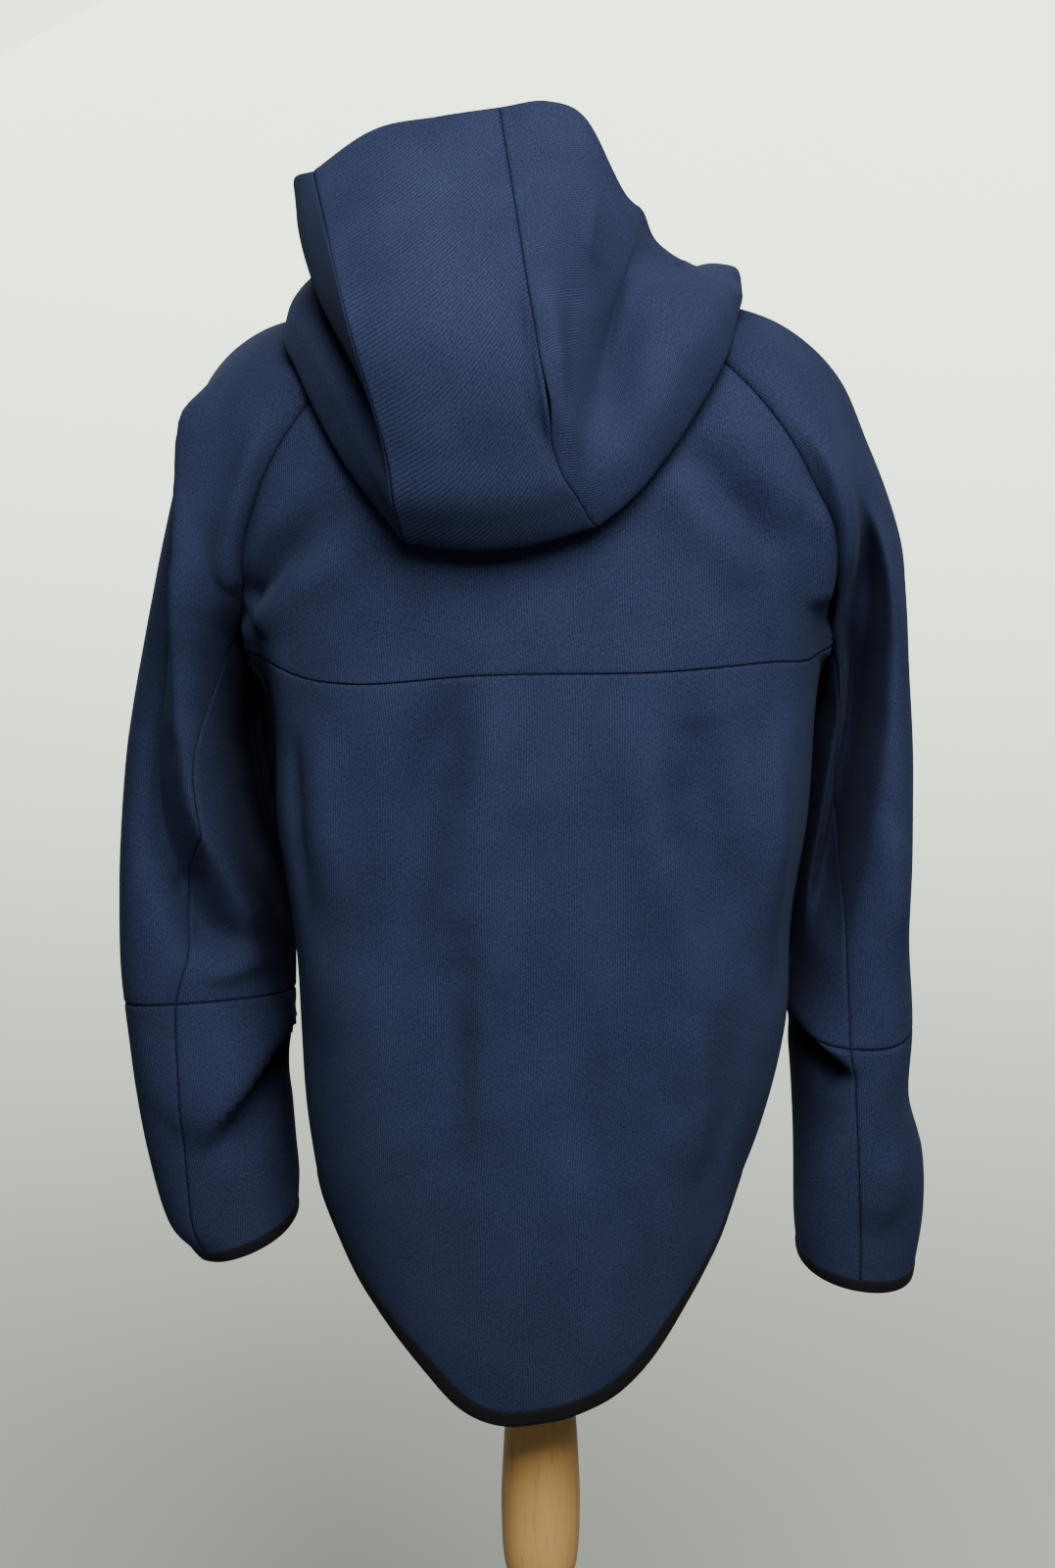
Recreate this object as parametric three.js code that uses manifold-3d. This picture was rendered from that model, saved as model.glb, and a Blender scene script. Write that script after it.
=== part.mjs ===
// A zip-up hooded sweatshirt in thick fleece, worn by a limbless dress form on a turned post.
//
// Frame: millimetres, +Z up, origin on the floor under the post. The garment faces -Y, so its
// back faces +Y, and the wearer's left is +X. Heights in the tables are drops below the shoulder.
import * as THREE from "three";
import { mergeVertices } from "three/addons/utils/BufferGeometryUtils.js";
import Module from "manifold-3d";

// ---- Driving dimensions ----
const SHOULDER = 1300; // floor to the high point of the shoulder
const CLOTH = 3; // wall of the fleece
const SEAM = 0.3; // clearance between two pieces sewn to each other
const BEVEL = 1.3; // the inner face stops this much earlier, as a pressed seam allowance does
const ZIP_HALF = 4; // from the centre line to the edge of a front
const ZIP_SPREAD = 1.15; // how much faster than a circle a section widens next to the zip
const BINDING = { wide: 9, cuff: 7, thick: 4.4 }; // elastic binding at the hem and the cuffs
const UNDERARM = 217; // drop of the underarm point
const NECK_GAP = 1; // clearance between the hood and the neck edge of the body
const HOOD_RISE = { out: 12, up: 20 }; // the hood first stands up from the neck seam by this
const HOOD_LIFT = { at: 0.58, out: 18, up: 20 }; // how far its underside then bows off the shoulders

// ---- Body: horizontal sections ----
// half: half width, off: centre's shift to +X, back and front: depth each way from Y = 0.
const BODY = [
  { drop: -14, half: 150, off: 0, back: 68, front: 50 },
  { drop: 10, half: 176, off: 1, back: 86, front: 64 },
  { drop: 38, half: 206, off: 2, back: 105, front: 80 },
  { drop: 70, half: 222, off: 3, back: 121, front: 96 },
  { drop: 100, half: 228, off: 3, back: 128, front: 108 },
  { drop: 150, half: 226, off: 3, back: 131, front: 122 },
  { drop: UNDERARM, half: 205, off: 3, back: 129, front: 127 },
  { drop: 259, half: 193, off: -1, back: 127, front: 127 },
  { drop: 363, half: 184, off: -1, back: 121, front: 124 },
  { drop: 427, half: 174, off: -1, back: 117, front: 121 },
  { drop: 494, half: 170, off: -1, back: 112, front: 118 },
  { drop: 570, half: 157, off: 5, back: 106, front: 113 },
  { drop: 608, half: 146, off: 8, back: 102, front: 110 },
  { drop: 640, half: 136, off: 7, back: 98, front: 106 },
  { drop: 665, half: 127, off: 7, back: 95, front: 102 },
  { drop: 690, half: 117, off: 6, back: 92, front: 98 },
  { drop: 720, half: 107, off: 4, back: 87, front: 93 },
  { drop: 770, half: 96, off: 4, back: 76, front: 82 },
];
const SQUARENESS = 0.05; // how far a section is from an ellipse towards a rounded box

// Drop of the cloth's lower edge by the angle round the body: 0 at the centre back, 180 at the
// zip. The tail hangs a little lower on the left.
const HEM = [
  { at: 0, left: 751, right: 751 },
  { at: 8, left: 753, right: 748 },
  { at: 16, left: 750, right: 742 },
  { at: 24, left: 741, right: 734 },
  { at: 33, left: 722, right: 719 },
  { at: 42, left: 701, right: 700 },
  { at: 50, left: 681, right: 680 },
  { at: 58, left: 660, right: 660 },
  { at: 66, left: 638, right: 640 },
  { at: 75, left: 616, right: 617 },
  { at: 90, left: 598, right: 598 },
  { at: 115, left: 603, right: 603 },
  { at: 145, left: 620, right: 620 },
  { at: 180, left: 634, right: 634 },
];

// Drop of the seam under the back yoke, from the right underarm (-1) to the left (1).
const YOKE_SEAM = [
  { at: -1, drop: UNDERARM },
  { at: -0.72, drop: 243 },
  { at: -0.5, drop: 247 },
  { at: -0.2, drop: 255 },
  { at: 0.1, drop: 257 },
  { at: 0.4, drop: 262 },
  { at: 0.55, drop: 257 },
  { at: 0.8, drop: 236 },
  { at: 1, drop: UNDERARM },
];

// ---- Raglan seams: drop and distance from the section's centre, neck to underarm ----
const RAGLAN_BACK = [
  { drop: 8, side: 72 },
  { drop: 38, side: 112 },
  { drop: 72, side: 148 },
  { drop: 115, side: 178 },
  { drop: 165, side: 197 },
  { drop: UNDERARM, side: 205 },
];
const RAGLAN_FRONT = [
  { drop: 34, side: 86 },
  { drop: 62, side: 112 },
  { drop: 92, side: 142 },
  { drop: 130, side: 172 },
  { drop: 172, side: 195 },
  { drop: UNDERARM, side: 205 },
];
const NECK_DROP = { back: 11, front: 85 }; // at the centre back and the zip

// ---- Sleeves ----
// cap: one row for each raglan row, with the ridge over the shoulder, and how the cloth
// leaves the raglan seam (out, along, up) and the ridge (over), behind and in front.
// tube: rings down the arm, with the inner and outer point, the depth behind and in front, how
// much lower the ring is behind, and the share of its back that belongs to the under panel.
const SLEEVES = {
  left: {
    side: 1,
    cap: [
      { x: 93, y: 0, drop: -9, out: 5, along: 0, up: 10, over: 42 },
      { x: 150, y: 0, drop: -1, out: 12, along: 3, up: 18, over: 48 },
      { x: 196, y: -2, drop: 12, out: 18, along: 8, up: 26, over: 56 },
      { x: 229, y: -5, drop: 40, out: 20, along: 18, up: 26, over: 66 },
      { x: 249, y: -8, drop: 88, out: 12, along: 48, up: 14, over: 80 },
    ],
    tube: [
      { xi: 208, yi: 2, di: 217, xo: 264, yo: -10, do: 149, back: 76, front: 76, sag: 0, split: 0.02 },
      { xi: 209, yi: -12, di: 234, xo: 273, yo: -9, do: 191, back: 74, front: 76, sag: 0, split: 0.18 },
      { xi: 198, yi: -36, di: 264, xo: 281, yo: -8, do: 236, back: 70, front: 74, sag: 0, split: 0.34 },
      { xi: 189, yi: -46, di: 312, xo: 292, yo: -6, do: 305, back: 62, front: 66, sag: 0, split: 0.48 },
      { xi: 184, yi: -48, di: 370, xo: 296, yo: -8, do: 370, back: 55, front: 60, sag: 0, split: 0.47 },
      { xi: 178, yi: -44, di: 432, xo: 297, yo: -12, do: 436, back: 50, front: 54, sag: 2, split: 0.5 },
      { xi: 177, yi: -38, di: 474, xo: 295, yo: -16, do: 482, back: 46, front: 52, sag: 4, split: 0.59 },
      { xi: 177, yi: -38, di: 525, xo: 290, yo: -22, do: 534, back: 44, front: 48, sag: 8, split: 0.61 },
      { xi: 175, yi: -36, di: 575, xo: 281, yo: -30, do: 590, back: 40, front: 44, sag: 12, split: 0.64 },
      { xi: 173, yi: -42, di: 606, xo: 267, yo: -38, do: 638, back: 36, front: 40, sag: 16, split: 0.7 },
      { xi: 174, yi: -46, di: 629, xo: 251, yo: -44, do: 656, back: 34, front: 36, sag: 20, split: 0.74 },
    ],
  },
  right: {
    side: -1,
    cap: [
      { x: 91, y: 0, drop: -9, out: 5, along: 0, up: 10, over: 42 },
      { x: 139, y: 0, drop: -4, out: 12, along: 3, up: 18, over: 48 },
      { x: 177, y: -2, drop: 12, out: 16, along: 8, up: 26, over: 56 },
      { x: 210, y: -5, drop: 43, out: 16, along: 18, up: 24, over: 66 },
      { x: 230, y: -8, drop: 89, out: 10, along: 48, up: 14, over: 80 },
    ],
    tube: [
      { xi: 202, yi: 2, di: 217, xo: 252, yo: -10, do: 144, back: 74, front: 76, sag: 0, split: 0.02 },
      { xi: 205, yi: -12, di: 234, xo: 256, yo: -9, do: 188, back: 72, front: 76, sag: 0, split: 0.14 },
      { xi: 197, yi: -36, di: 266, xo: 259, yo: -8, do: 236, back: 68, front: 74, sag: 0, split: 0.22 },
      { xi: 188, yi: -46, di: 312, xo: 261, yo: -8, do: 305, back: 64, front: 70, sag: 2, split: 0.29 },
      { xi: 183, yi: -48, di: 370, xo: 261, yo: -10, do: 370, back: 60, front: 64, sag: 8, split: 0.35 },
      { xi: 178, yi: -44, di: 436, xo: 261, yo: -14, do: 434, back: 56, front: 60, sag: 20, split: 0.4 },
      { xi: 177, yi: -38, di: 486, xo: 264, yo: -18, do: 494, back: 52, front: 56, sag: 30, split: 0.45 },
      { xi: 180, yi: -38, di: 538, xo: 263, yo: -26, do: 546, back: 48, front: 52, sag: 28, split: 0.48 },
      { xi: 182, yi: -34, di: 592, xo: 275, yo: -34, do: 588, back: 44, front: 48, sag: 24, split: 0.46 },
      { xi: 183, yi: -40, di: 634, xo: 277, yo: -42, do: 628, back: 40, front: 44, sag: 24, split: 0.47 },
      { xi: 185, yi: -45, di: 656, xo: 270, yo: -46, do: 670, back: 36, front: 38, sag: 24, split: 0.49 },
    ],
  },
};
const SKEW = 0.38; // how far a ring set askew bends away from the body behind
const ELBOW = 6; // tube row that carries the elbow seam
const FRONT_SPLIT = [0.02, 0.12, 0.2, 0.3, 0.33, 0.34, 0.36, 0.36, 0.36, 0.37, 0.38]; // split in front

// ---- Hood, thrown back: lines from the neck seam to the opening's edge ----
// neck: angle of the line's foot on the neck seam, 0 at the centre back, + on the left.
// low: where the cloth turns under. belly, crease and crown: on the outer face. edge: the
// opening. A line without them stands straight up, as at the zip. Points are [x, y, drop].
const HOOD = [
  { name: "zip left", neck: 177.8, edge: [4, -108, 12] },
  { name: "front left", neck: 152, edge: [60, -97, 2] },
  { name: "cheek left", neck: 124, edge: [104, -58, -22] },
  {
    name: "side left", neck: 102,
    low: [140, -8, -22], belly: [146, -8, -28], crease: [145, -8, -34],
    crown: [140, -8, -40], edge: [132, -8, -45],
  },
  {
    name: "roll left", neck: 84,
    low: [171, 80, 23], belly: [169, 76, 6], crease: [147, 68, -20],
    crown: [156, 50, -46], edge: [155, 36, -57],
  },
  {
    name: "band left", neck: 68,
    low: [161, 110, 56], belly: [152, 122, 42], crease: [130, 112, 20],
    crown: [159, 98, -36], edge: [165, 76, -70],
  },
  {
    name: "corner left", neck: 54,
    low: [127, 134, 121], belly: [121, 150, 108], crease: [112, 152, 82],
    crown: [145, 142, 12], edge: [165, 96, -77],
  },
  {
    name: "seam left", neck: 40,
    low: [89, 145, 171], belly: [94, 166, 156], crease: [99, 180, 122],
    crown: [126, 188, 28], edge: [151, 112, -77],
  },
  {
    name: "centre left", neck: 13,
    low: [45, 150, 177], belly: [54, 172, 160], crease: [64, 188, 126],
    crown: [86, 199, 30], edge: [110, 121, -103],
  },
  {
    name: "centre right", neck: -13,
    low: [5, 150, 175], belly: [13, 172, 158], crease: [24, 188, 124],
    crown: [45, 199, 28], edge: [68, 124, -111],
  },
  {
    name: "seam right", neck: -40,
    low: [-37, 148, 163], belly: [-24, 166, 147], crease: [-9, 181, 121],
    crown: [6, 190, 30], edge: [28, 120, -118],
  },
  {
    name: "lobe right", neck: -46,
    low: [-45, 147, 156], belly: [-32, 165, 139], crease: [-18, 176, 108],
    crown: [-14, 170, -2], edge: [-4, 118, -123],
  },
  {
    name: "ridge right", neck: -53,
    low: [-53, 146, 149], belly: [-40, 162, 132], crease: [-26, 166, 92],
    crown: [-36, 142, -36], edge: [-31, 110, -113],
  },
  {
    name: "valley right", neck: -64,
    low: [-71, 142, 128], belly: [-60, 156, 110], crease: [-40, 142, 66],
    crown: [-58, 118, -30], edge: [-57, 98, -68],
  },
  {
    name: "band right", neck: -76,
    low: [-100, 133, 83], belly: [-91, 146, 58], crease: [-62, 128, 14],
    crown: [-67, 100, -36], edge: [-70, 82, -58],
  },
  {
    name: "roll right", neck: -90,
    low: [-124, 108, 38], belly: [-119, 116, 18], crease: [-90, 98, -12],
    crown: [-80, 74, -34], edge: [-79, 56, -44],
  },
  {
    name: "side right", neck: -106,
    low: [-134, 36, -12], belly: [-135, 42, -15], crease: [-121, 38, -20],
    crown: [-110, 26, -25], edge: [-101, 14, -30],
  },
  { name: "cheek right", neck: -128, edge: [-102, -56, -24] },
  { name: "front right", neck: -152, edge: [-60, -97, 2] },
  { name: "zip right", neck: -177.8, edge: [-4, -108, 12] },
];
const HOOD_KNOTS = [0, 0.07, 0.25, 0.4, 0.47, 0.6, 0.8, 1];

// ---- Dress form and stand ----
const FORM = [
  { drop: 606, half: 124, off: 0, back: 66, front: 74 },
  { drop: 600, half: 134, off: 0, back: 76, front: 84 },
  { drop: 560, half: 145, off: 0, back: 88, front: 96 },
  { drop: 480, half: 150, off: 0, back: 93, front: 100 },
  { drop: 390, half: 146, off: 0, back: 90, front: 100 },
  { drop: 330, half: 150, off: 0, back: 95, front: 104 },
  { drop: 260, half: 162, off: 0, back: 106, front: 112 },
  { drop: 200, half: 174, off: 0, back: 118, front: 114 },
  { drop: 140, half: 186, off: 0, back: 121, front: 110 },
  { drop: 100, half: 196, off: 0, back: 118, front: 96 },
  { drop: 70, half: 200, off: 0, back: 111, front: 84 },
  { drop: 45, half: 192, off: 0, back: 97, front: 70 },
  { drop: 25, half: 172, off: 0, back: 82, front: 59 },
  { drop: 10, half: 140, off: 0, back: 70, front: 50 },
  { drop: -2, half: 88, off: 0, back: 60, front: 48 },
  { drop: -16, half: 63, off: 0, back: 52, front: 50 },
  { drop: -50, half: 58, off: 0, back: 48, front: 54 },
  { drop: -84, half: 57, off: 0, back: 46, front: 56 },
  { drop: -90, half: 50, off: 0, back: 40, front: 49 },
];
const POST = [
  { z: 693.6, r: 46 },
  { z: 684, r: 46 },
  { z: 676, r: 26 },
  { z: 620, r: 21 },
  { z: 560, r: 22.5 },
  { z: 510, r: 26 },
  { z: 462, r: 27.6 },
  { z: 425, r: 25 },
  { z: 396, r: 17 },
  { z: 384, r: 22 },
  { z: 372, r: 22 },
  { z: 360, r: 16 },
  { z: 240, r: 19 },
  { z: 110, r: 21 },
  { z: 60, r: 25 },
  { z: 40, r: 36 },
  { z: 30.3, r: 38 },
];
const BASE = { radius: 185, foot: 3, edge: 14, round: 8, collar: 60, top: 30 };
const SIDES = { form: 28, post: 28, base: 48, bar: 12, eye: 16 }; // of round pieces

// ---- Zip ----
// The tapes lie this clear behind the fronts, and the slider this far below the top of the zip.
const ZIP = { chain: 6.6, thick: 2.4, tapeFrom: 3.6, tapeTo: 16, tapeThick: 1.2, clear: 0.8, sliderAt: 16 };
// Drops of the tapes' ends and of the cut between their two solids, and chain to slider
const ZIP_END = { bottom: 632, cut: 330, top: 15, gap: 0.4 };
const SLIDER = {
  wide: 6.6, tall: 11, deep: 4.6, lug: 2.8, bar: 0.9, barLong: 5, sunk: 0.6,
  cheek: 0.9, cheekTall: 2.4, cheekAt: 2.4, root: 1.2,
};
const PULL = { wide: 6, tall: 26, thick: 1.6, eye: 2.2, hole: 1.4, neck: 3, neckTall: 3.2, head: 4 };

// ---- Vector and curve helpers ----
const rad = (deg) => (deg * Math.PI) / 180;
const add = (a, b, s = 1) => a.map((x, i) => x + b[i] * s);
const sub = (a, b) => a.map((x, i) => x - b[i]);
const mix = (a, b, t) => (Array.isArray(a) ? a.map((x, i) => x + (b[i] - x) * t) : a + (b - a) * t);
const unit = (a) => a.map((x) => x / (Math.hypot(...a) || 1));
const steps = (n, a = 0, b = 1) => Array.from({ length: n + 1 }, (_, i) => mix(a, b, i / n));
const cross = (a, b) => [
  a[1] * b[2] - a[2] * b[1],
  a[2] * b[0] - a[0] * b[2],
  a[0] * b[1] - a[1] * b[0],
];

// The smooth curve through points at rising knots. It may turn sharply at the corners' indices.
function through(points, knots, corners = []) {
  const last = points.length - 1;
  const gap = (i) => knots[i + 1] - knots[i] || 1e-9;
  const chord = (i) => sub(points[i + 1], points[i]).map((x) => x / gap(i));
  const slope = (i, leaving) => {
    if (i === 0 || (corners.includes(i) && leaving)) return chord(i);
    if (i === last || corners.includes(i)) return chord(i - 1);
    return chord(i - 1).map((x, k) => (x * gap(i) + chord(i)[k] * gap(i - 1)) / (gap(i) + gap(i - 1)));
  };
  const slopes = points.map((_, i) => [slope(i, false), i < last ? slope(i, true) : null]);
  return (at) => {
    let i = 0;
    while (i < last - 1 && at > knots[i + 1]) i++;
    const h = gap(i);
    const t = Math.max(0, Math.min(1, (at - knots[i]) / h));
    const a = 2 * t ** 3 - 3 * t ** 2 + 1;
    const b = (t ** 3 - 2 * t ** 2 + t) * h;
    const c = 3 * t ** 2 - 2 * t ** 3;
    const d = (t ** 3 - t ** 2) * h;
    const [m0, m1] = [slopes[i][1], slopes[i + 1][0]];
    return points[i].map((p, k) => a * p + b * m0[k] + c * points[i + 1][k] + d * m1[k]);
  };
}

// A table's columns as smooth functions of the column `by`, as a list in the order of keys.
function table(rows, by, keys) {
  const sorted = [...rows].sort((a, b) => a[by] - b[by]);
  return through(sorted.map((r) => keys.map((k) => r[k])), sorted.map((r) => r[by]));
}

// The value of a column at a fractional row number.
function column(rows, key, at) {
  return through(rows.map((r) => [r[key]]), rows.map((_, i) => i))(at)[0];
}

// Cubic with two end points and the handles that leave them.
function bezier(a, ha, b, hb, t) {
  const [p, q] = [add(a, ha), add(b, hb)];
  const w = [(1 - t) ** 3, 3 * t * (1 - t) ** 2, 3 * t * t * (1 - t), t ** 3];
  return a.map((x, i) => w[0] * x + w[1] * p[i] + w[2] * q[i] + w[3] * b[i]);
}

// ---- Body surface ----
const SECTION = ["half", "off", "back", "front"];
const bodySection = table(BODY, "drop", SECTION);
const formSection = table(FORM, "drop", SECTION);
const across = (angle) => (Math.sin(angle) + SQUARENESS * Math.sin(3 * angle)) / (1 - SQUARENESS);

// A point of a section. Angle 0 is the centre back, and +90 degrees the left side.
function sectionPoint([half, off, back, front], angle, drop) {
  const along = (Math.cos(angle) - SQUARENESS * Math.cos(3 * angle)) / (1 - SQUARENESS);
  return [off + half * across(angle), along * (along > 0 ? back : front), SHOULDER - drop];
}
const bodyPoint = (angle, drop) => sectionPoint(bodySection(drop), angle, drop);

// The angle from the centre line at which a section is so far out.
function reach(drop, side) {
  const goal = side / bodySection(drop)[0];
  let [low, high] = [0, Math.PI / 2];
  for (let i = 0; i < 40; i++) {
    const middle = (low + high) / 2;
    if (across(middle) < goal) low = middle;
    else high = middle;
  }
  return high;
}

const hemTable = table(HEM, "at", ["left", "right"]);
const hemDrop = (angle) => hemTable(Math.abs(angle))[angle > 0 ? 0 : 1];
const yokeDrop = table(YOKE_SEAM, "at", ["drop"]);

// A raglan seam as a function of the row, with the rows evenly spaced along the seam.
const RAGLAN_END = RAGLAN_BACK.length - 1;
function raglanSeam(rows, faces) {
  const place = ({ drop, angle }) => bodyPoint(faces > 0 ? angle : Math.PI - angle, drop);
  const fine = steps(240, 0, RAGLAN_END).map((at) => {
    const drop = column(rows, "drop", at);
    return { drop, angle: reach(drop, column(rows, "side", at)), along: 0 };
  });
  for (let i = 1; i < fine.length; i++)
    fine[i].along = fine[i - 1].along + Math.hypot(...sub(place(fine[i]), place(fine[i - 1])));
  const total = fine[fine.length - 1].along;
  return (at) => {
    const goal = (Math.min(at, RAGLAN_END) / RAGLAN_END) * total;
    let i = 1;
    while (i < fine.length - 1 && fine[i].along < goal) i++;
    const t = (goal - fine[i - 1].along) / (fine[i].along - fine[i - 1].along || 1e-9);
    const between = (key) => mix(fine[i - 1][key], fine[i][key], t);
    return { drop: between("drop"), angle: between("angle") };
  };
}
const raglanBack = raglanSeam(RAGLAN_BACK, 1);
const raglanFront = raglanSeam(RAGLAN_FRONT, -1);
const backSeam = (sign, at) => {
  const { drop, angle } = raglanBack(at);
  return bodyPoint(sign * angle, drop);
};
const frontSeam = (sign, at) => {
  const { drop, angle } = raglanFront(at);
  return bodyPoint(sign * (Math.PI - angle), drop);
};

// ---- Sleeve surface: row `at` from the neck (0) over the underarm (RAGLAN_END) to the cuff ----
// half: 1 behind, -1 in front. s: 0 at the raglan seam or the inner point, 1 at the ridge.
function sleevePoint({ side, cap, tube }, at, half, s) {
  const depth = (r) => [0, (half * (half > 0 ? r.back : r.front) * 4) / 3, half > 0 ? -r.sag : 0];
  const ridge = [...cap.map((r) => [side * r.x, r.y, SHOULDER - r.drop]),
    ...tube.map((r) => [side * r.xo, r.yo, SHOULDER - r.do])];
  const skew = (r) => add(depth(r), [half * side * SKEW * (r.yo - r.yi), 0, 0]);
  const leave = [...cap.map((r) => [side * r.out, half * r.along, r.up]), ...tube.map(skew)];
  const arrive = [...cap.map((r) => [0, half * r.over, 0]), ...tube.map(depth)];
  const rows = ridge.map((_, i) => i);
  const seam = half > 0 ? backSeam : frontSeam;
  const low = tube.slice(1).map((r) => [side * r.xi, r.yi, SHOULDER - r.di]);
  const inner = [seam(side, RAGLAN_END), ...low];
  const start = at <= RAGLAN_END
    ? seam(side, at)
    : through(inner, inner.map((_, i) => i))(at - RAGLAN_END);
  const [a, b, c] = [leave, ridge, arrive].map((list) => through(list, rows)(at));
  return bezier(start, a, b, c, s);
}

// ---- Shells ----
const pull = (from, to, d) => add(from, unit(sub(to, from)), d);

// Moves a grid's border inwards by d, or by its own distance on each side.
function inset(grid, d) {
  const [top, bottom, left, right] = Array.isArray(d) ? d : [d, d, d, d];
  const [n, m] = [grid.length - 1, grid[0].length - 1];
  const out = grid.map((row) => row.map((p) => p));
  for (let j = 0; j <= m; j++) {
    if (top) out[0][j] = pull(out[0][j], grid[1][j], top);
    if (bottom) out[n][j] = pull(out[n][j], grid[n - 1][j], bottom);
  }
  for (let i = 0; i <= n; i++) {
    if (left) out[i][0] = pull(out[i][0], out[i][1], left);
    if (right) out[i][m] = pull(out[i][m], out[i][m - 1], right);
  }
  return out;
}

// A closed wall from a grid of points of its outer face, with the inner face `thick` inside.
// (row direction) x (column direction) points out. A ring's last column meets its first.
function shell(grid, { thick = CLOTH, ring = false, bevel = BEVEL } = {}) {
  const [rows, cols] = [grid.length, grid[0].length];
  const at = (g, i, j) => {
    const row = g[Math.max(0, Math.min(rows - 1, i))];
    return ring ? row[(j + cols) % cols] : row[Math.max(0, Math.min(cols - 1, j))];
  };
  const offset = grid.map((row, i) => row.map((p, j) => {
    const down = sub(at(grid, i + 1, j), at(grid, i - 1, j));
    const along = sub(at(grid, i, j + 1), at(grid, i, j - 1));
    return add(p, unit(cross(down, along)), -thick);
  }));
  const inner = inset(offset, ring ? [bevel, bevel, 0, 0] : bevel);
  const index = [];
  const out = (i, j) => i * cols + (j % cols);
  const back = (i, j) => rows * cols + out(i, j);
  const quad = (a, b, c, d) => index.push(a, b, c, a, c, d);
  const spans = ring ? cols : cols - 1;
  for (let j = 0; j < spans; j++) {
    for (let i = 0; i < rows - 1; i++) {
      quad(out(i, j), out(i + 1, j), out(i + 1, j + 1), out(i, j + 1));
      quad(back(i, j), back(i, j + 1), back(i + 1, j + 1), back(i + 1, j));
    }
    quad(out(0, j), out(0, j + 1), back(0, j + 1), back(0, j));
    quad(out(rows - 1, j), back(rows - 1, j), back(rows - 1, j + 1), out(rows - 1, j + 1));
  }
  for (let i = 0; !ring && i < rows - 1; i++) {
    quad(out(i, 0), back(i, 0), back(i + 1, 0), out(i + 1, 0));
    quad(out(i, cols - 1), out(i + 1, cols - 1), back(i + 1, cols - 1), back(i, cols - 1));
  }
  return solid([...grid.flat(), ...inner.flat()], index);
}

// A closed mesh from points and triangles, turned so that its faces point out.
function solid(points, index) {
  let volume = 0;
  for (let i = 0; i < index.length; i += 3) {
    const [a, b, c] = [points[index[i]], points[index[i + 1]], points[index[i + 2]]];
    volume += cross(a, b).reduce((sum, x, k) => sum + x * c[k], 0);
  }
  return new THREE.BufferGeometry()
    .setAttribute("position", new THREE.Float32BufferAttribute(points.flat(), 3))
    .setIndex(volume < 0 ? [...index].reverse() : index);
}

// A closed bar from rings of section points, with both ends capped, or joined to each other.
function bar(rings, loop = false) {
  const n = rings[0].length;
  const index = [];
  const at = (i, j) => (i % rings.length) * n + (j % n);
  for (let i = 0; i < rings.length - (loop ? 0 : 1); i++)
    for (let j = 0; j < n; j++)
      index.push(at(i, j), at(i + 1, j), at(i + 1, j + 1), at(i, j), at(i + 1, j + 1), at(i, j + 1));
  for (let j = 1; !loop && j < n - 1; j++) {
    index.push(at(0, 0), at(0, j), at(0, j + 1));
    index.push(at(rings.length - 1, 0), at(rings.length - 1, j + 1), at(rings.length - 1, j));
  }
  return solid(rings.flat(), index);
}

// ---- Body pieces ----
const ROWS = { cap: 8, side: 12, across: 20, arm: 7, fore: 6 }; // shared by pieces that meet
const HALF_SEAM = SEAM / 2;

function yoke() {
  const grid = steps(ROWS.cap).map((v) => {
    const seam = raglanBack(v * RAGLAN_END);
    const share = (seam.drop - RAGLAN_BACK[0].drop) / (UNDERARM - RAGLAN_BACK[0].drop);
    return steps(ROWS.across, 1, -1).map((u) => {
      const top = mix(NECK_DROP.back, RAGLAN_BACK[0].drop, u * u);
      return bodyPoint(u * seam.angle, mix(top, yokeDrop(u)[0], share));
    });
  });
  return shell(inset(grid, HALF_SEAM));
}

function backLower() {
  const grid = steps(ROWS.side).map((v) => steps(ROWS.across, 1, -1).map((u) => {
    const hem = hemDrop(u * 90);
    return bodyPoint(u * rad(90), mix(yokeDrop(u)[0], hem, v));
  }));
  return shell(inset(grid, HALF_SEAM));
}

// A front, from the zip (u = 0) to the raglan and side seams (u = 1).
function frontPoint(sign, u, row) {
  if (row <= RAGLAN_END) {
    const seam = raglanFront(row);
    const share = (seam.drop - RAGLAN_FRONT[0].drop) / (UNDERARM - RAGLAN_FRONT[0].drop);
    const drop = seam.drop + (NECK_DROP.front - RAGLAN_FRONT[0].drop) * (1 - share) * (1 - u * u);
    return frontAt(sign, u, seam.angle, drop);
  }
  const hem = hemDrop(sign * (180 - u * 90));
  return frontAt(sign, u, rad(90), mix(UNDERARM, hem, row - RAGLAN_END));
}
function frontAt(sign, u, width, drop) {
  const [half, off, back, front] = bodySection(drop);
  const start = Math.asin(Math.min(1, Math.abs(sign * ZIP_HALF - off) / (half * ZIP_SPREAD)));
  const from = sign * ZIP_HALF - off > 0 === sign > 0 ? start : -start;
  const [x, y, z] = sectionPoint([half, off, back, front], sign * (Math.PI - mix(from, width, u)), drop);
  return [u === 0 ? sign * ZIP_HALF : x, y, z];
}
const FRONT_END = RAGLAN_END + 1;
function front(sign) {
  const rows = [...steps(ROWS.cap, 0, RAGLAN_END), ...steps(ROWS.side, RAGLAN_END, FRONT_END).slice(1)];
  const columns = steps(ROWS.across / 2, ...(sign > 0 ? [0, 1] : [1, 0]));
  const grid = rows.map((row) => columns.map((u) => frontPoint(sign, u, row)));
  return shell(inset(grid, HALF_SEAM));
}

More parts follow.
